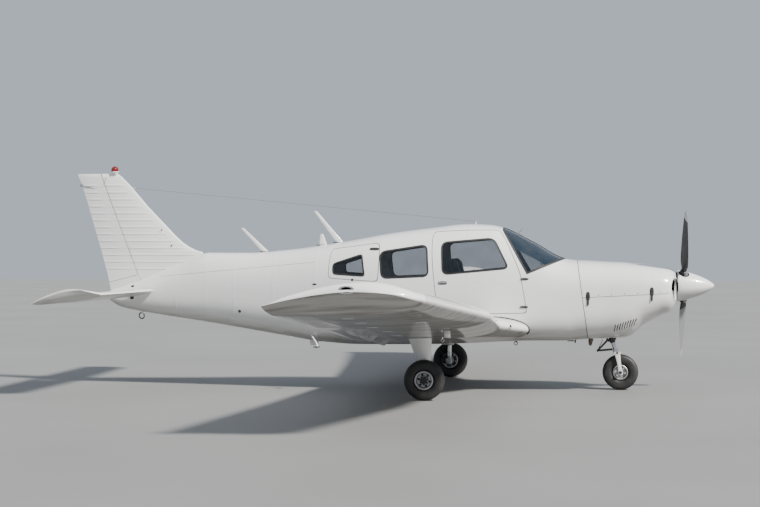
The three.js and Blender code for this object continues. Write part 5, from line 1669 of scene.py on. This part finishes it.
def seat_parts(x, y, frame_half, cushion_half, back_half, channels):
    """The shapes of one seat, as name of the part: shape."""
    def on_cushion(u, v, depth):
        return (u, v, SEAT_LOW + depth * (SEAT_TOP - SEAT_LOW))

    def on_back(u, v, depth):
        share = (v - BACK_LOW) / (BACK_TOP - BACK_LOW)
        rear = np.array((x - 0.010 - 0.100 * share, u, v - 0.010 * share))
        return rear + depth * np.array((0.120 - 0.030 * share, 0, 0.010 * share))

    plan = oblong(x, x + SEAT_DEEP, y - cushion_half, y + cushion_half)
    face = oblong(y - back_half, y + back_half, BACK_LOW, BACK_TOP)
    lines = [lambda points, at=at: points[:, 1] - y - at for at in channels]
    cushion = pressed(stuffed(stack(plan, on_cushion)), lines + [lambda points: points[:, 0] - x - 0.40],
                      (0, 0, 1))
    back = pressed(stuffed(stack(face, on_back)), lines + [lambda points: points[:, 2] - 1.36], (1, 0, 0.2))
    skin, back_skin = surface(cushion), surface(back)
    seams = together([piping(plan, on_cushion, depth, skin) for depth in (0.90, 0.10)]
                     + [piping(face, on_back, depth, back_skin) for depth in (0.88, 0.12)])
    rails = [y - frame_half * 0.86, y + frame_half * 0.86]
    bars = [brick((x + 0.050, y - frame_half + 0.004, 0.779), (x + 0.430, y + frame_half - 0.004, 0.7895))]
    for rail in rails:
        bars.append(brick((x + 0.045, rail - 0.016, 0.596), (x + 0.435, rail + 0.016, 0.616)))
        bars.append(tube([(x + along, rail, z) for along, z in SEAT_LEGS], 0.011, 14))
        bars.append(tube([(x + 0.062, rail, 0.63), (x + 0.418, rail, 0.75)], 0.007, 10))
    for along in (0.060, 0.240, 0.420):
        bars.append(tube([(x + along, rail, 0.762) for rail in rails], 0.010, 12))
    belts, buckles = [], []
    for centre in ((y,) if cushion_half < 0.3 else (y - 0.21, y + 0.21)):
        for way in (-1, 1):
            path = []
            for share in np.linspace(0, 1, 18):
                px, py = x + 0.085 + 0.165 * share ** 0.8, centre + way * (0.185 - 0.150 * share)
                hit = skin.ray_cast(Vector((px, py, 1.2)), Vector((0, 0, -1)))[0]
                path.append(np.array((px, py, (hit.z if hit else SEAT_TOP) + 0.0035)))
            belts.append(ribbon(path, 0.045, 0.0022))
            if way > 0:
                end = path[-1]
                buckles.append(brick(end - (0.024, 0.052, 0.002), end + (0.024, 0.012, 0.014)))
    return {"seat_cushion": cushion, "seat_back": back, "seams": seams, "frame": together(bars),
            "belts": together(belts), "buckles": together(buckles)}


def ribbon(path, width, thickness):
    """A flat strap through points, level across its way."""
    path = np.asarray(path, float)
    rings = []
    for point, way in zip(path, np.gradient(path, axis=0)):
        across = unit(np.cross((0, 0, 1), way)) * width / 2
        up = unit(np.cross(way, across)) * thickness / 2
        rings.append([point + across + up, point - across + up, point - across - up, point + across - up])
    return loft(rings)


def place_seat(name, parts):
    for part, fill in (("seat_cushion", 0.75), ("seat_back", 0.70)):
        made = piece(f"{part}_cover_{name}", parts[part], seat_cloth, [f"{part}_{name}"], sharp=70)
    piece(f"seat_piping_{name}", parts["seams"], belt_webbing)
    piece(f"seat_rails_{name}", parts["frame"], dark_steel, [f"seat_frame_{name}"])
    piece(f"seat_belts_{name}", parts["belts"], belt_webbing)
    piece(f"seat_buckles_{name}", parts["buckles"], bare_steel, bevel=0.002)


for name, row in SEATS.items():
    seat = seat_parts(*row)
    place_seat(name, seat)
    if name == "front_right":
        across_cabin = (0, -2 * row[1], 0)
        place_seat("front_left", {part: Shape(shape.corners + across_cabin, shape.faces)
                                  for part, shape in seat.items()})

# %% [markdown]
# The instrument panel fills the front of the cabin under a padded shield. Its instruments are three
# meshes: rings, black faces, and white marks with a hand. They are plain dials with ticks and no
# words. Two rows of three stand before the left seat, the smaller engine gauges before the right.

# %% Instrument panel
PANEL = [(1.770, 1.010), (1.840, 1.010), (2.060, 1.330), (2.060, 1.372), (1.720, 1.400), (1.750, 1.370)]
panel_room = hull(CABIN_AFT + BULKHEAD, 2.095, WALL + 0.001, FLOOR_DEPTH, 96, 0.05)
panel_shape = common(prism(PANEL, -0.6, 0.6), panel_room)
piece("panel", panel_shape, cabin_trim, ["instrument_panel"], bevel=0.003)


def panel_spot(y, z):
    return np.array((1.770 - 0.020 * (z - 1.010) / 0.360, y, z))


PANEL_OUT = unit((-0.360, 0, -0.020))
PANEL_UP = unit((-0.020, 0, 0.360))
RADIO_ROWS = (1.135, 1.182, 1.229, 1.276, 1.323)
dials = [(y, z, 0.036) for z in (1.318, 1.228) for y in (0.150, 0.240, 0.330)]
dials += [(y, z, 0.021) for z in (1.330, 1.275) for y in (-0.150, -0.205, -0.260, -0.315)]
dials += [(0.415, 1.300, 0.024), (0.415, 1.235, 0.024)]


def dial_mark(spot, turn, low, high, lift, half_low, half_high):
    """A mark or a hand on a dial, between two distances from its middle."""
    way = math.cos(turn) * PANEL_UP + math.sin(turn) * np.array((0, 1, 0))
    start, end = (spot + lift * PANEL_OUT + distance * way for distance in (low, high))
    return strap(start, end, half_low, half_high, 0.001, np.cross(way, PANEL_OUT))


bezels, faces, marks = [], [], []
for count, (y, z, size) in enumerate(dials):
    spot, inner = panel_spot(y, z), size * 0.86
    bezels.append(turned([(0.0, size), (0.006, size), (0.008, size * 0.96), (0.006, inner), (0.0, inner)],
                         spot, PANEL_OUT, 32, endless=True))
    faces.append(rod(-0.001, 0.0025, size * 0.88, spot, PANEL_OUT, 28))
    marks += [dial_mark(spot, turn, size * 0.64, size * 0.80, 0.0030, 0.0011, 0.0011) for turn in turns(12)]
    marks.append(dial_mark(spot, 0.9 + count * 1.3, size * -0.15, size * 0.62, 0.0042, 0.0018, 0.0006))
piece("dial_rings", together(bezels), dark_steel)
piece("dial_faces", together(faces), dial_black)
piece("dial_marks", together(marks), dial_white)
radios = together(brick(panel_spot(0.075, z) - (0.010, 0.150, 0),
                        panel_spot(0.075, z) + (0.002, 0.015, 0.040))
                  for z in RADIO_ROWS)
piece("radio_faces", radios, dial_black, bevel=0.0015)
knobs = [turned([(0.008, 0.007), (0.022, 0.0062), (0.024, 0.004)], panel_spot(y, z + 0.020), PANEL_OUT, 16)
         for z in RADIO_ROWS for y in (-0.062, 0.076)]
knobs += [turned([(0.0, 0.005), (0.014, 0.0045), (0.016, 0.003)], panel_spot(y, 1.145), PANEL_OUT, 12)
          for y in np.arange(0.13, 0.43, 0.03)]
piece("panel_knobs", together(knobs), dial_black)
quadrant = [brick((1.650, -0.055, 1.020), (1.765, 0.055, 1.100))]
for at, (y, reach) in enumerate(((0.028, 0.085), (-0.004, 0.070), (-0.034, 0.060))):
    top = np.array((1.690 - reach * 0.55, y, 1.098 + reach * 0.75))
    quadrant.append(strap((1.695, y, 1.095), top, 0.005, 0.004, 0.003, (1, 0, 0)))
    quadrant.append(turned([(-0.014, 0.006), (-0.010, 0.011), (0.010, 0.011), (0.014, 0.006)], top,
                           (0, 1, 0), 18))
piece("throttle_quadrant", together(quadrant), dark_steel, bevel=0.002)

# %% [markdown]
# Two control wheels stick out of the panel, each a bent tube on a bright shaft. Pedals, a carpet, sun
# visors and arm rests finish what a look through the glass can reach.

# %% Controls and trim
HAND_WHEEL = (
    # x, distance from its middle, z, radius of the tube
    (1.557, 0.000, 1.214, 0.013), (1.557, 0.080, 1.212, 0.012), (1.556, 0.106, 1.215, 0.0125),
    (1.556, 0.119, 1.232, 0.0125), (1.556, 0.121, 1.262, 0.012), (1.557, 0.120, 1.284, 0.009),
)
PEDALS_Y = (-0.33, -0.17, 0.17, 0.33)
for label, side in SIDES.items():
    y = side * 0.250
    half = [(x, y + reach, z) for x, reach, z, _ in HAND_WHEEL]
    other_half = [(x, y - reach, z) for x, reach, z, _ in HAND_WHEEL[:0:-1]]
    sizes = [row[3] for row in (*HAND_WHEEL[:0:-1], *HAND_WHEEL)]
    grip = tube(other_half + half, sizes, 16)
    boss = turned([(-0.014, 0.018), (-0.010, 0.026), (0.008, 0.026), (0.016, 0.014)], (1.557, y, 1.214),
                  (1, 0, 0), 28)
    piece(f"control_grip_{label}", grip + boss, dial_black, [f"control_wheel_{label}"])
    shaft = tube([(1.560, y, 1.2145), (1.765, y, 1.2005)], 0.010, 20)
    collar = turned([(-0.008, 0.020), (0.0, 0.024)], panel_spot(y, 1.2005) + (-0.001, 0, 0), (1, 0, 0), 24)
    piece(f"control_shaft_{label}", shaft + collar, bare_steel)
pedals = together(prism(rounded([(1.955, 0.690), (1.968, 0.690), (1.930, 0.800), (1.917, 0.800)], 0.004),
                        y - 0.040, y + 0.040) for y in PEDALS_Y)
bars = together(tube([(1.958, y, 0.745), (2.06, y, 0.770)], 0.008, 10) for y in PEDALS_Y)
piece("rudder_pedals", pedals + bars, dark_steel, bevel=0.002)
mat = cut(hull(-0.72, 2.02, WALL + 0.002, FLOOR_DEPTH + 0.0008, 96, 0.06),
          hull(-0.80, 2.10, WALL + 0.002, FLOOR_DEPTH + 0.0065, 96, 0.06), brick((-1, -1, 0.64), (3, 1, 3)))
piece("floor_carpet", mat, carpet)
visor_outline = rounded([(1.262, 1.716), (1.268, 1.728), (1.392, 1.652), (1.386, 1.640)], 0.004)
visors = together(across(visor_outline, side, 0.090, 0.330) for side in (-1, 1))
piece("sun_visors", visors, cabin_trim, bevel=0.002)


def arm_rest(aft, front, side, near=0.470, far=0.512):
    outline = [(aft, 1.000), (front, 1.020), (front, 1.058), (aft, 1.050)]
    return across(rounded(outline, 0.016), side, near, far)


rests = arm_rest(0.62, 1.06, 1) + arm_rest(-0.10, 0.30, -1) + arm_rest(-0.10, 0.30, 1)
piece("arm_rests", rests, cabin_trim, bevel=0.004)
piece("door_rest", arm_rest(0.72, 1.20, -1, 0.474, 0.516), cabin_trim, body="cabin_door_body", bevel=0.004)
# %% [markdown]
# What makes a real aircraft look finished is its small fittings, and most of them are low plates
# that lie on a curved skin. Each is an outline drawn in the skin's own directions and lofted
# outward, with a chamfer at its edge. The wing has no formula for its skin, so a ray or the nearest
# point on the finished shape gives the place and the direction there.

# %% Plates on the skin
def oval(half_u, half_v, fullness=2.0, points=32):
    u, v = np.cos(turns(points)), np.sin(turns(points))
    return np.column_stack([half_u * np.sign(u) * np.abs(u) ** (2 / fullness),
                            half_v * np.sign(v) * np.abs(v) ** (2 / fullness)])


def plate(spot, outline, height, edge=0.0008, sunk=0.002, lean=0.0):
    """An outline on the skin, lofted outward; lean turns it, in radians."""
    here, along, up, out = spot
    c, s = math.cos(lean), math.sin(lean)
    rings = []
    for lift, shrink in ((-sunk, 0.0), (height - edge, 0.0), (height, edge)):
        ring = grown(outline, -shrink)
        u, v = ring[:, 0] * c - ring[:, 1] * s, ring[:, 0] * s + ring[:, 1] * c
        rings.append(here + np.outer(u, along) + np.outer(v, up) + lift * out)
    return loft(rings)


def moved(spot, u, v, w=0.0):
    here, along, up, out = spot
    return here + u * along + v * up + w * out, along, up, out


def nearest(tree, point, forward=(1, 0, 0)):
    """The skin's nearest spot to a point, with its directions."""
    here, out = tree.find_nearest(Vector(point))[:2]
    out = unit(out)
    along = unit(np.asarray(forward) - (np.asarray(forward) @ out) * out)
    return np.array(here), along, np.cross(out, along), out


def head(spot, radius=0.0030, height=0.0011):
    return turned([(-0.0008, radius), (height * 0.4, radius * 0.9), (height, radius * 0.35)], spot[0],
                  spot[3], 8)


trees = {label: surface(top) for label, top in wing_tops.items()}
print("oval of", len(oval(1, 1)), "points, wing trees", len(trees))

# %% [markdown]
# The cowling meets the front wall with an open joint, and a dark flange shows in it. Its halves are
# held by over-centre latches and a row of quarter-turn screws, and nine louvres let warm air out on
# each side. A louvre is a raised hood with a black plate at its back edge, painted shade for its slot.

# %% Cowl fittings
flange = common(cut(hull(2.05, 2.30, 0.005, spacing=0.02), hull(2.04, 2.31, 0.016, spacing=0.02)),
                firewall_front(), behind_firewall(0.016))
piece("cowl_flange", flange, dark_steel)
latches, screws, hoods, slot_shades = [], [], [], []
for side in (-1, 1):
    for x, z in ((2.247, 1.050), (2.930, 1.100)):
        spot = skin_spot(x, z, side)
        latches += [plate(spot, oval(0.022, 0.050, 2.6), 0.004, 0.0015),
                    plate(moved(spot, 0, -0.058, 0.003), oval(0.011, 0.044, 3.0), 0.007, 0.002),
                    plate(moved(spot, 0, 0.012, 0.004), oval(0.012, 0.014), 0.004, 0.001)]
    for x in (2.36, 2.50, 2.64, 2.78, 3.02, 3.10):
        level = split_aft + (x - 2.0) / 1.3 * (split_front - split_aft)
        screws.append(plate(skin_spot(x, level + 0.018, side), oval(0.0068, 0.0068, points=14), 0.0012,
                            0.0004))
    for z in np.linspace(0.68, 1.36, 11):
        screws.append(head(skin_spot(firewall_x(z) + 0.022, z, side), 0.0042, 0.0013))
    for count in range(9):
        spot = skin_spot(2.542 + count * 0.027, 0.704 + count * 0.0088, side)
        hoods.append(plate(moved(spot, 0.006, 0), oval(0.0075, 0.050, 3.0), 0.0042, 0.0030,
                           lean=side * 0.10))
        # a black plate behind each hood is painted shade for the louvre's slot
        slot_shades.append(plate(moved(spot, -0.0035, 0), oval(0.0062, 0.046, 3.0), 0.0012, 0.0003,
                           lean=side * 0.10))
piece("cowl_latches", together(latches), dark_steel)
piece("cowl_screws", together(screws), bare_steel)
piece("louvre_hoods", together(hoods), cowl_paint)
piece("louvre_slot_shades", together(slot_shades), dial_black)
lamp = (np.array((COWL_FRONT, 0, 1.014)), np.array((0, 1.0, 0)), np.array((0, 0, 1.0)),
        np.array((1.0, 0, 0)))
piece("landing_light_rim", plate(lamp, oval(0.046, 0.046), 0.004, 0.002), bare_steel)
piece("landing_light", plate(moved(lamp, 0, 0, 0.0035), oval(0.038, 0.038), 0.0035, 0.003), clear_lens)

# %% [markdown]
# The door has a flush handle on a black oval, painted shade for its recess, and two streamlined
# hinge covers at its front edge.
# Small ports, a latch, rows of rivets and a long lapped seam break up the side behind it. The seam is
# a fine bead laid along the skin, sunk so far that only its upper edge catches the light, and its mid
# grey is painted shade of the lap.

# %% Side fittings
def skin_bead(start, end, side, radius, sunk, count=60):
    """A round bar laid along the skin between two (x, z) points, sunk into it."""
    spots = [skin_spot(x, z, side) for x, z in np.linspace(start, end, count)]
    return tube([spot[0] - sunk * spot[3] for spot in spots], radius, 8)


handle = skin_spot(0.673, 1.191, -1)
# the black oval under the handle is painted shade for its recess
piece("door_handle_recess_shade", plate(handle, oval(0.048, 0.019, 4.0), 0.0012, 0.0004), dial_black,
      body="cabin_door_body")
piece("door_handle", plate(moved(handle, 0.004, 0.003, 0.001), oval(0.036, 0.0085, 4.0), 0.0075, 0.002)
      + plate(moved(handle, -0.032, 0.003, 0.001), oval(0.010, 0.012), 0.008, 0.002), bare_steel,
      body="cabin_door_body")
hinges = together(plate(skin_spot(x, z, -1), oval(0.046, 0.0115, 2.2), 0.013, 0.008)
                  for x, z in ((1.566, 1.237), (1.560, 0.934)))
piece("door_hinge_covers", hinges, dark_steel)
piece("baggage_latch", plate(skin_spot(-0.093, 1.562, -1), oval(0.058, 0.019, 2.5), 0.0024, 0.001)
      + plate(skin_spot(-0.330, 1.222, -1), oval(0.014, 0.014), 0.0025, 0.001), dark_steel,
      body="baggage_door_body")
ports = [plate(skin_spot(-1.648, 0.860, side), oval(0.017, 0.017), 0.0018, 0.0006) for side in (-1, 1)]
ports.append(plate(skin_spot(-0.764, 1.170, -1), oval(0.026, 0.011), 0.0018, 0.0006))
piece("side_ports", together(ports), dark_steel)
# the lap bead's grey is painted shade of the lap
laps = together(skin_bead((-2.611, 1.249), (-0.775, 1.415), side, 0.0030, 0.0016) for side in (-1, 1))
piece("side_laps", laps, lap_shade_grey)
rivets = [head(spot, 0.0034, 0.0010) for side in (-1, 1) for x in (-0.785, *TAIL_LAPS)
          for spot in (skin_spot(x, z, side) for z in np.linspace(0.86, 1.36, 9) if x > -2.3 or z < 1.3)]
piece("tail_rivets", together(rivets), tail_paint)

# %% [markdown]
# A rubber strip seals each wing root to the body. Where the two surfaces meet isn't in any table, so
# it is found: at every point of the airfoil, the strip lies where the distance out equals the body's
# half width there. Black non-slip coating covers the walkway beside the door, and is cut from a wing
# a fraction of a millimetre larger.

# %% Wing root and walkway
def root_points(side, lift=0.0015):
    stations = np.linspace(0.40, 0.60, 41)
    rings = np.array([section(edges[:2], edges[2:], thickness, camber, y, None, lift)
                      for y, (*edges, thickness, camber) in zip(stations, straight(WING, stations))])
    found = []
    for trace in np.swapaxes(rings, 0, 1):
        top, bottom, half, widest, above, below = monotone(FRAMES, trace[:, 0]).T
        z = trace[:, 2] - widest
        over = z > 0
        full = np.where(over, above, below)
        share = np.abs(z / np.where(over, top - widest, widest - bottom)).clip(0, 1)
        gap = trace[:, 1] - half * (1 - share ** full) ** (1 / full)
        step = int(np.argmax(gap > 0))
        if step:
            low, high = gap[step - 1], gap[step]
            point = trace[step - 1] + (trace[step] - trace[step - 1]) * (-low / (high - low))
            found.append(point * (1, side, 1))
    return found


strips = [tube(root_points(side)[3:-3], 0.0095, 8) for side in (-1, 1)]
piece("wing_root_seals", together(strips), seal_rubber)
grip = common(cut(wing(-1, 0.0009, 0.50, 1.02, 0.04), wing(-1, -0.002, 0.48, 1.04, 0.04)),
              prism(rounded(oblong(0.165, 1.12, 0.60, 1.2), 0.03), -0.95, -0.565),
              prism([(0.0, 0.665), (1.4, 0.745), (1.4, 1.2), (0.0, 1.2)], -2, 0))
piece("wing_walkway", grip, walkway)

# %% [markdown]
# The wings carry fuel caps, round inspection covers, tie-down rings, a pitot mast, cabin air inlets
# in the leading edge and lights at the tips. Under the wing hang the hinge arms: half of each arm is
# fixed to the wing, and half turns with the flap.

# %% Wing fittings
TIP_LIMIT = 5.334        # no lamp sticks out past the wing's tips
COVERS_AT = ((0.35, 2.05), (0.35, 2.75), (0.30, 3.45), (0.30, 4.15), (0.28, 4.75), (0.95, 2.9), (0.85, 3.9))
FLAP_ARMS_Y = (0.95, 1.90, 2.85)
# The outlines of the arms, as x and the height above the hinge.
FIXED_ARM = ((0.175, 0.070), (0.060, 0.070), (0.068, -0.009), (0.090, -0.010), (0.125, 0.030))
TURNING_ARM = ((0.020, 0.055), (-0.070, 0.060), (-0.010, 0.018), (0.070, -0.009), (0.090, -0.008),
               (0.090, 0.008))


def within_tips(shape):
    return Shape(np.clip(shape.corners, (-FAR, -TIP_LIMIT, -FAR), (FAR, TIP_LIMIT, FAR)), shape.faces)


def flap_arm(outline, y, hinge_z, half):
    return prism([(x, hinge_z + rise) for x, rise in outline], y - half, y + half)


caps, covers, rims, inlet_shades, hinge_arms = [], [], [], [], []
flap_from, flap_to, _ = HINGED["flap"]
for label, side in SIDES.items():
    tree = trees[label]
    cap = nearest(tree, (0.78, side * 2.25, 1.2))
    caps += [plate(cap, oval(0.043, 0.043), 0.0022, 0.001),
             plate(moved(cap, 0, 0, 0.002), oval(0.030, 0.030), 0.004, 0.002),
             plate(moved(cap, 0.004, 0, 0.005), oval(0.021, 0.005, 3.0), 0.004, 0.001)]
    covers += [plate(nearest(tree, (x, side * y, 0.2)), oval(0.052, 0.038, 2.4), 0.0014, 0.0006)
               for x, y in COVERS_AT]
    turning = []
    for y in FLAP_ARMS_Y:
        hinge_z = np.interp(y, (flap_from[1], flap_to[1]), (flap_from[2], flap_to[2]))
        hinge_arms.append(flap_arm(FIXED_ARM, side * y, hinge_z, 0.0045))
        hinge_arms.append(rod(-0.012, 0.022, 0.0065, (flap_from[0], side * y, hinge_z), (0, 1, 0), 16))
        turning.append(flap_arm(TURNING_ARM, side * (y + 0.014), hinge_z, 0.003))
    piece(f"flap_arms_{label}", together(turning), cast_alloy, body=f"flap_{label}_body")
    tip = nearest(tree, (0.354, side * 5.36, 1.240))
    rims.append(plate(tip, oval(0.064, 0.032, 2.4), 0.004, 0.0015))
    lens = within_tips(plate(moved(tip, 0, 0, 0.002), oval(0.046, 0.024), 0.018, 0.013))
    piece(f"tip_light_{label}", lens, blue_lens if label == "right" else red_lens)
    edge = nearest(tree, (1.60, side * 1.0, 0.742), (0, 1, 0))
    # a black oval in the leading edge is painted shade for each fresh air inlet's opening
    inlet_shades.append(plate(edge, oval(0.028, 0.017), 0.0022, 0.0008, 0.004))
    caps.append(plate(moved(edge, 0, 0, -0.001), oval(0.034, 0.022), 0.0022, 0.0010, 0.004))
rings_under = [rod(0.0, 0.022, 0.006, (0.800, side * 1.9, 0.655), (0, 0, 1), 12)
               + turned([(-0.004, 0.014), (0.0, 0.018), (0.004, 0.014), (0.0, 0.010)],
                        (0.800, side * 1.9, 0.642), (0, 1, 0), 28, endless=True)
               for side in (-1, 1)]
pitot = nearest(trees["left"], (0.62, 3.05, 0.2))
mast = loft([[pitot[0] + (u * 0.045 * grow - 0.012 * drop, v * 0.007, -0.05 * drop)
              for u, v in oval(1, 1, 2, 20)] for drop, grow in ((-0.1, 1.0), (1.0, 0.8), (1.1, 0.7))])
piece("fuel_caps_and_inlet_lips", together(caps), fitting_paint)
piece("inspection_covers", together(covers), fitting_paint)
piece("flap_hinge_arms", together(hinge_arms), cast_alloy)
piece("tie_down_rings", together(rings_under), bare_steel)
piece("pitot_mast", mast, fitting_paint)
piece("tip_light_rims", within_tips(together(rims)), bare_steel)
piece("fresh_air_inlet_shades", together(inlet_shades), dial_black)

# %% [markdown]
# The two whip aerials are really thin blades that lean back and taper, and the one between them is a
# small fin. They are lofts of pointed ovals. A taut aerial wire runs from the fin to an insulator on
# the roof, held at both ends, so it is one straight thin bar.

# %% Aerials
AERIALS = (
    # name, base (x, z), top (x, z), chord and thickness at the base, the same at the top
    ("front", (-0.520, 1.60), (-0.835, 1.994), (0.092, 0.020, 0.040, 0.008)),
    ("rear", (-1.360, 1.48), (-1.683, 1.802), (0.088, 0.020, 0.040, 0.008)),
    ("blade", (-0.737, 1.57), (-0.757, 1.733), (0.112, 0.016, 0.034, 0.010)),
)
roof = hull(-1.9, -0.3, -SLIT, None, 64, 0.06)


def mast_blade(base, top, chord, thick, end_chord, end_thick):
    (x0, z0), (x1, z1) = base, top
    rings = []
    for share in np.linspace(0, 1, 12):
        c, t = chord + (end_chord - chord) * share, thick + (end_thick - thick) * share
        x, z = x0 + (x1 - x0) * share, z0 + (z1 - z0) * share
        rings.append([(x + c / 2 * u, t / 2 * v, z) for u, v in oval(1, 1, 2, 24)])
    return cut(loft(rings), roof)


for name, base, top, sizes in AERIALS:
    piece(f"aerial_{name}_mast", mast_blade(base, top, *sizes), fitting_paint, [f"aerial_{name}"])
feet = []
for x in (-0.552, -1.395, -0.742):
    top = monotone(FRAMES, x)[0][0]
    feet.append(loft([[(x + reach * 0.068 * u, reach * 0.017 * v, top + lift) for u, v in oval(1, 1, 2, 28)]
                      for lift, reach in ((-0.004, 1.15), (0.0015, 1.15), (0.005, 0.9))]))
piece("aerial_feet", together(feet), seal_rubber)
WIRE_ENDS = ((-2.969, 0.0, 2.268), (0.999, 0.0, 1.872))
piece("aerial_wire", tube([WIRE_ENDS[0], WIRE_ENDS[1]], 0.0011, 8), dark_steel)
posts = (turned([(0.0, 0.010), (0.012, 0.009), (0.016, 0.005), (0.040, 0.004)], (0.999, 0, 1.836),
                (0, 0, 1), 20)
         + tube([(-2.940, 0.0, 2.262), (-3.000, 0.0, 2.270)], 0.0045, 10))
piece("aerial_insulators", posts, dial_white, slot="bare_steel")
probe = tube([(1.447, -0.16, 1.700), (1.531, -0.16, 1.790)], (0.0055, 0.0035), 12)
piece("air_temperature_probe", probe, bare_steel)

# %% [markdown]
# The fin carries the red beacon on a white foot, and the rudder a white tail light, whose wire runs
# forward to the fin's top. Black marks are painted shade for the tail's openings, among them where the
# tailplane's tube passes, and a ring hangs under the tail for a rope.

# %% Tail fittings
BEACON = (-3.184, 0, 2.430)
beacon_line = [(0.028, 0.0435), (0.046, 0.0435)] + [(0.046 + 0.044 * math.sin(a), 0.0435 * math.cos(a))
                                                    for a in np.linspace(0.1, 1.5, 12)]
piece("beacon_lens", turned(beacon_line, BEACON, (0, 0, 1), 40), red_lens, ["beacon"])
piece("beacon_foot",
      turned([(-0.006, 0.030), (0.004, 0.034), (0.020, 0.046), (0.0275, 0.046)], BEACON, (0, 0, 1), 40),
      fitting_paint)
LAMP_HEIGHT = 2.300
rear_x = straight(FIN, LAMP_HEIGHT)[0, 1]
lamp_line = [(-0.014, 0.0195), (0.008, 0.0195), (0.018, 0.016), (0.024, 0.009), (0.0255, 0.002)]
seat_line = [(-0.02, 0.010), (-0.012, 0.0215), (-0.002, 0.0215), (-0.002, 0.010)]
lamp_at, lamp_way = (rear_x - 0.004, 0, LAMP_HEIGHT), (-1, 0, 0.1)
piece("tail_light", turned(lamp_line, lamp_at, lamp_way, 32), clear_lens, body="rudder_body")
piece("tail_light_seat", turned(seat_line, lamp_at, lamp_way, 32), bare_steel, body="rudder_body")
wire = [(rear_x + 0.02, -0.012, 2.290), (rear_x + 0.14, -0.014, 2.262), (rear_x + 0.25, -0.020, 2.290),
        (rear_x + 0.29, -0.022, 2.385)]
piece("tail_light_wire", tube(wire, 0.0028, 8), seal_rubber, body="rudder_body")
# black ovals and round marks on the tail: painted shade for openings
opening_shade_marks = []
for side in (-1, 1):
    for x, z, half_u, half_v in ((-2.945, 1.135, 0.022, 0.014), (-2.945, 1.000, 0.024, 0.015)):
        opening_shade_marks.append(plate(skin_spot(x, z, side), oval(half_u, half_v, 2.5), 0.0012, 0.0004))
    opening_shade_marks += [head((np.array((x, side * wide, z)), 0, 0, np.array((0, side, 0))), 0.010, 0.004)
                   for x, z, wide in ((-2.618, 1.78, 0.0405), (-2.50, 1.60, 0.042))]
hinge_pins = together(tube([RUDDER_LOW + along * RUDDER_WAY + np.array((0.012, 0, 0)),
                            RUDDER_LOW + (along + 0.05) * RUDDER_WAY + np.array((0.012, 0, 0))], 0.013, 14)
                      for along in (0.10, 0.93))
piece("tail_opening_shades", together(opening_shade_marks), dial_black)
piece("rudder_hinges", hinge_pins, dark_steel)
ring_middle = np.array((-2.866, 0, 0.792))
tail_ring = (turned([(-0.007, 0.033), (0.0, 0.041), (0.007, 0.033), (0.0, 0.026)], ring_middle,
                    (0.25, 1, 0.1), 32, endless=True)
             + tube([(-2.850, 0, 0.865), (-2.858, 0, 0.826)], 0.0075, 12))
piece("tail_rope_ring", tail_ring, dark_steel)

# %% [markdown]
# Under the belly there are two drains, a blade aerial, a ring and a box for the brake lines, and a
# step bar hangs behind the wing. In the cabin, a compass hangs on the windshield's centre post.

# %% Belly and compass
bottom = monotone(FRAMES, (2.058, -0.835))[:, 1]
box = brick((2.02, -0.035, bottom[0] - 0.016), (2.09, 0.035, bottom[0] + 0.020))
front_drain = tube([(2.110, -0.06, 0.570), (2.104, -0.06, 0.520)], 0.009, 14)
rear_drain = tube([(1.447, 0.10, 0.545), (1.447, 0.10, 0.508)], 0.007, 12)
piece("belly_box_and_drains", box + front_drain + rear_drain, dark_steel, bevel=0.002)
keel = loft([[(-0.835 + shift + reach * u, 0.007 * v, z) for u, v in oval(1, 1, 2, 24)]
             for z, reach, shift in ((bottom[1] + 0.010, 0.060, 0.0), (bottom[1] - 0.050, 0.040, -0.015),
                                     (bottom[1] - 0.056, 0.034, -0.017))])
piece("belly_aerial", keel, fitting_paint)
step = tube([(-0.820, -0.320, 0.600), (-0.785, -0.400, 0.570), (-0.745, -0.455, 0.530),
             (-0.722, -0.490, 0.492), (-0.718, -0.520, 0.478), (-0.718, -0.590, 0.476)], 0.009, 16)
tread_pad = prism(rounded(oblong(-0.752, -0.684, 0.478, 0.487), 0.003), -0.605, -0.520)
piece("boarding_step", step, fitting_paint)
piece("boarding_step_pad", tread_pad, walkway)
belly_ring = turned([(-0.004, 0.020), (0.0, 0.024), (0.004, 0.020), (0.0, 0.016)],
                    (1.447, -0.03, 0.510), (0.1, 1, 0), 28, endless=True)
piece("belly_tow_ring", belly_ring, dark_steel)
compass = prism(rounded(oblong(1.752, 1.806, 1.498, 1.546), 0.012), -0.028, 0.028)
stem = tube([(1.779, 0, 1.540), (1.779, 0, 1.562)], 0.006, 12)
piece("compass", compass + stem, cabin_trim, bevel=0.003)
print("fittings made")

# %% Hand over
print("added triangles", sum(triangles.values()), "most in one piece", max(triangles.values()))
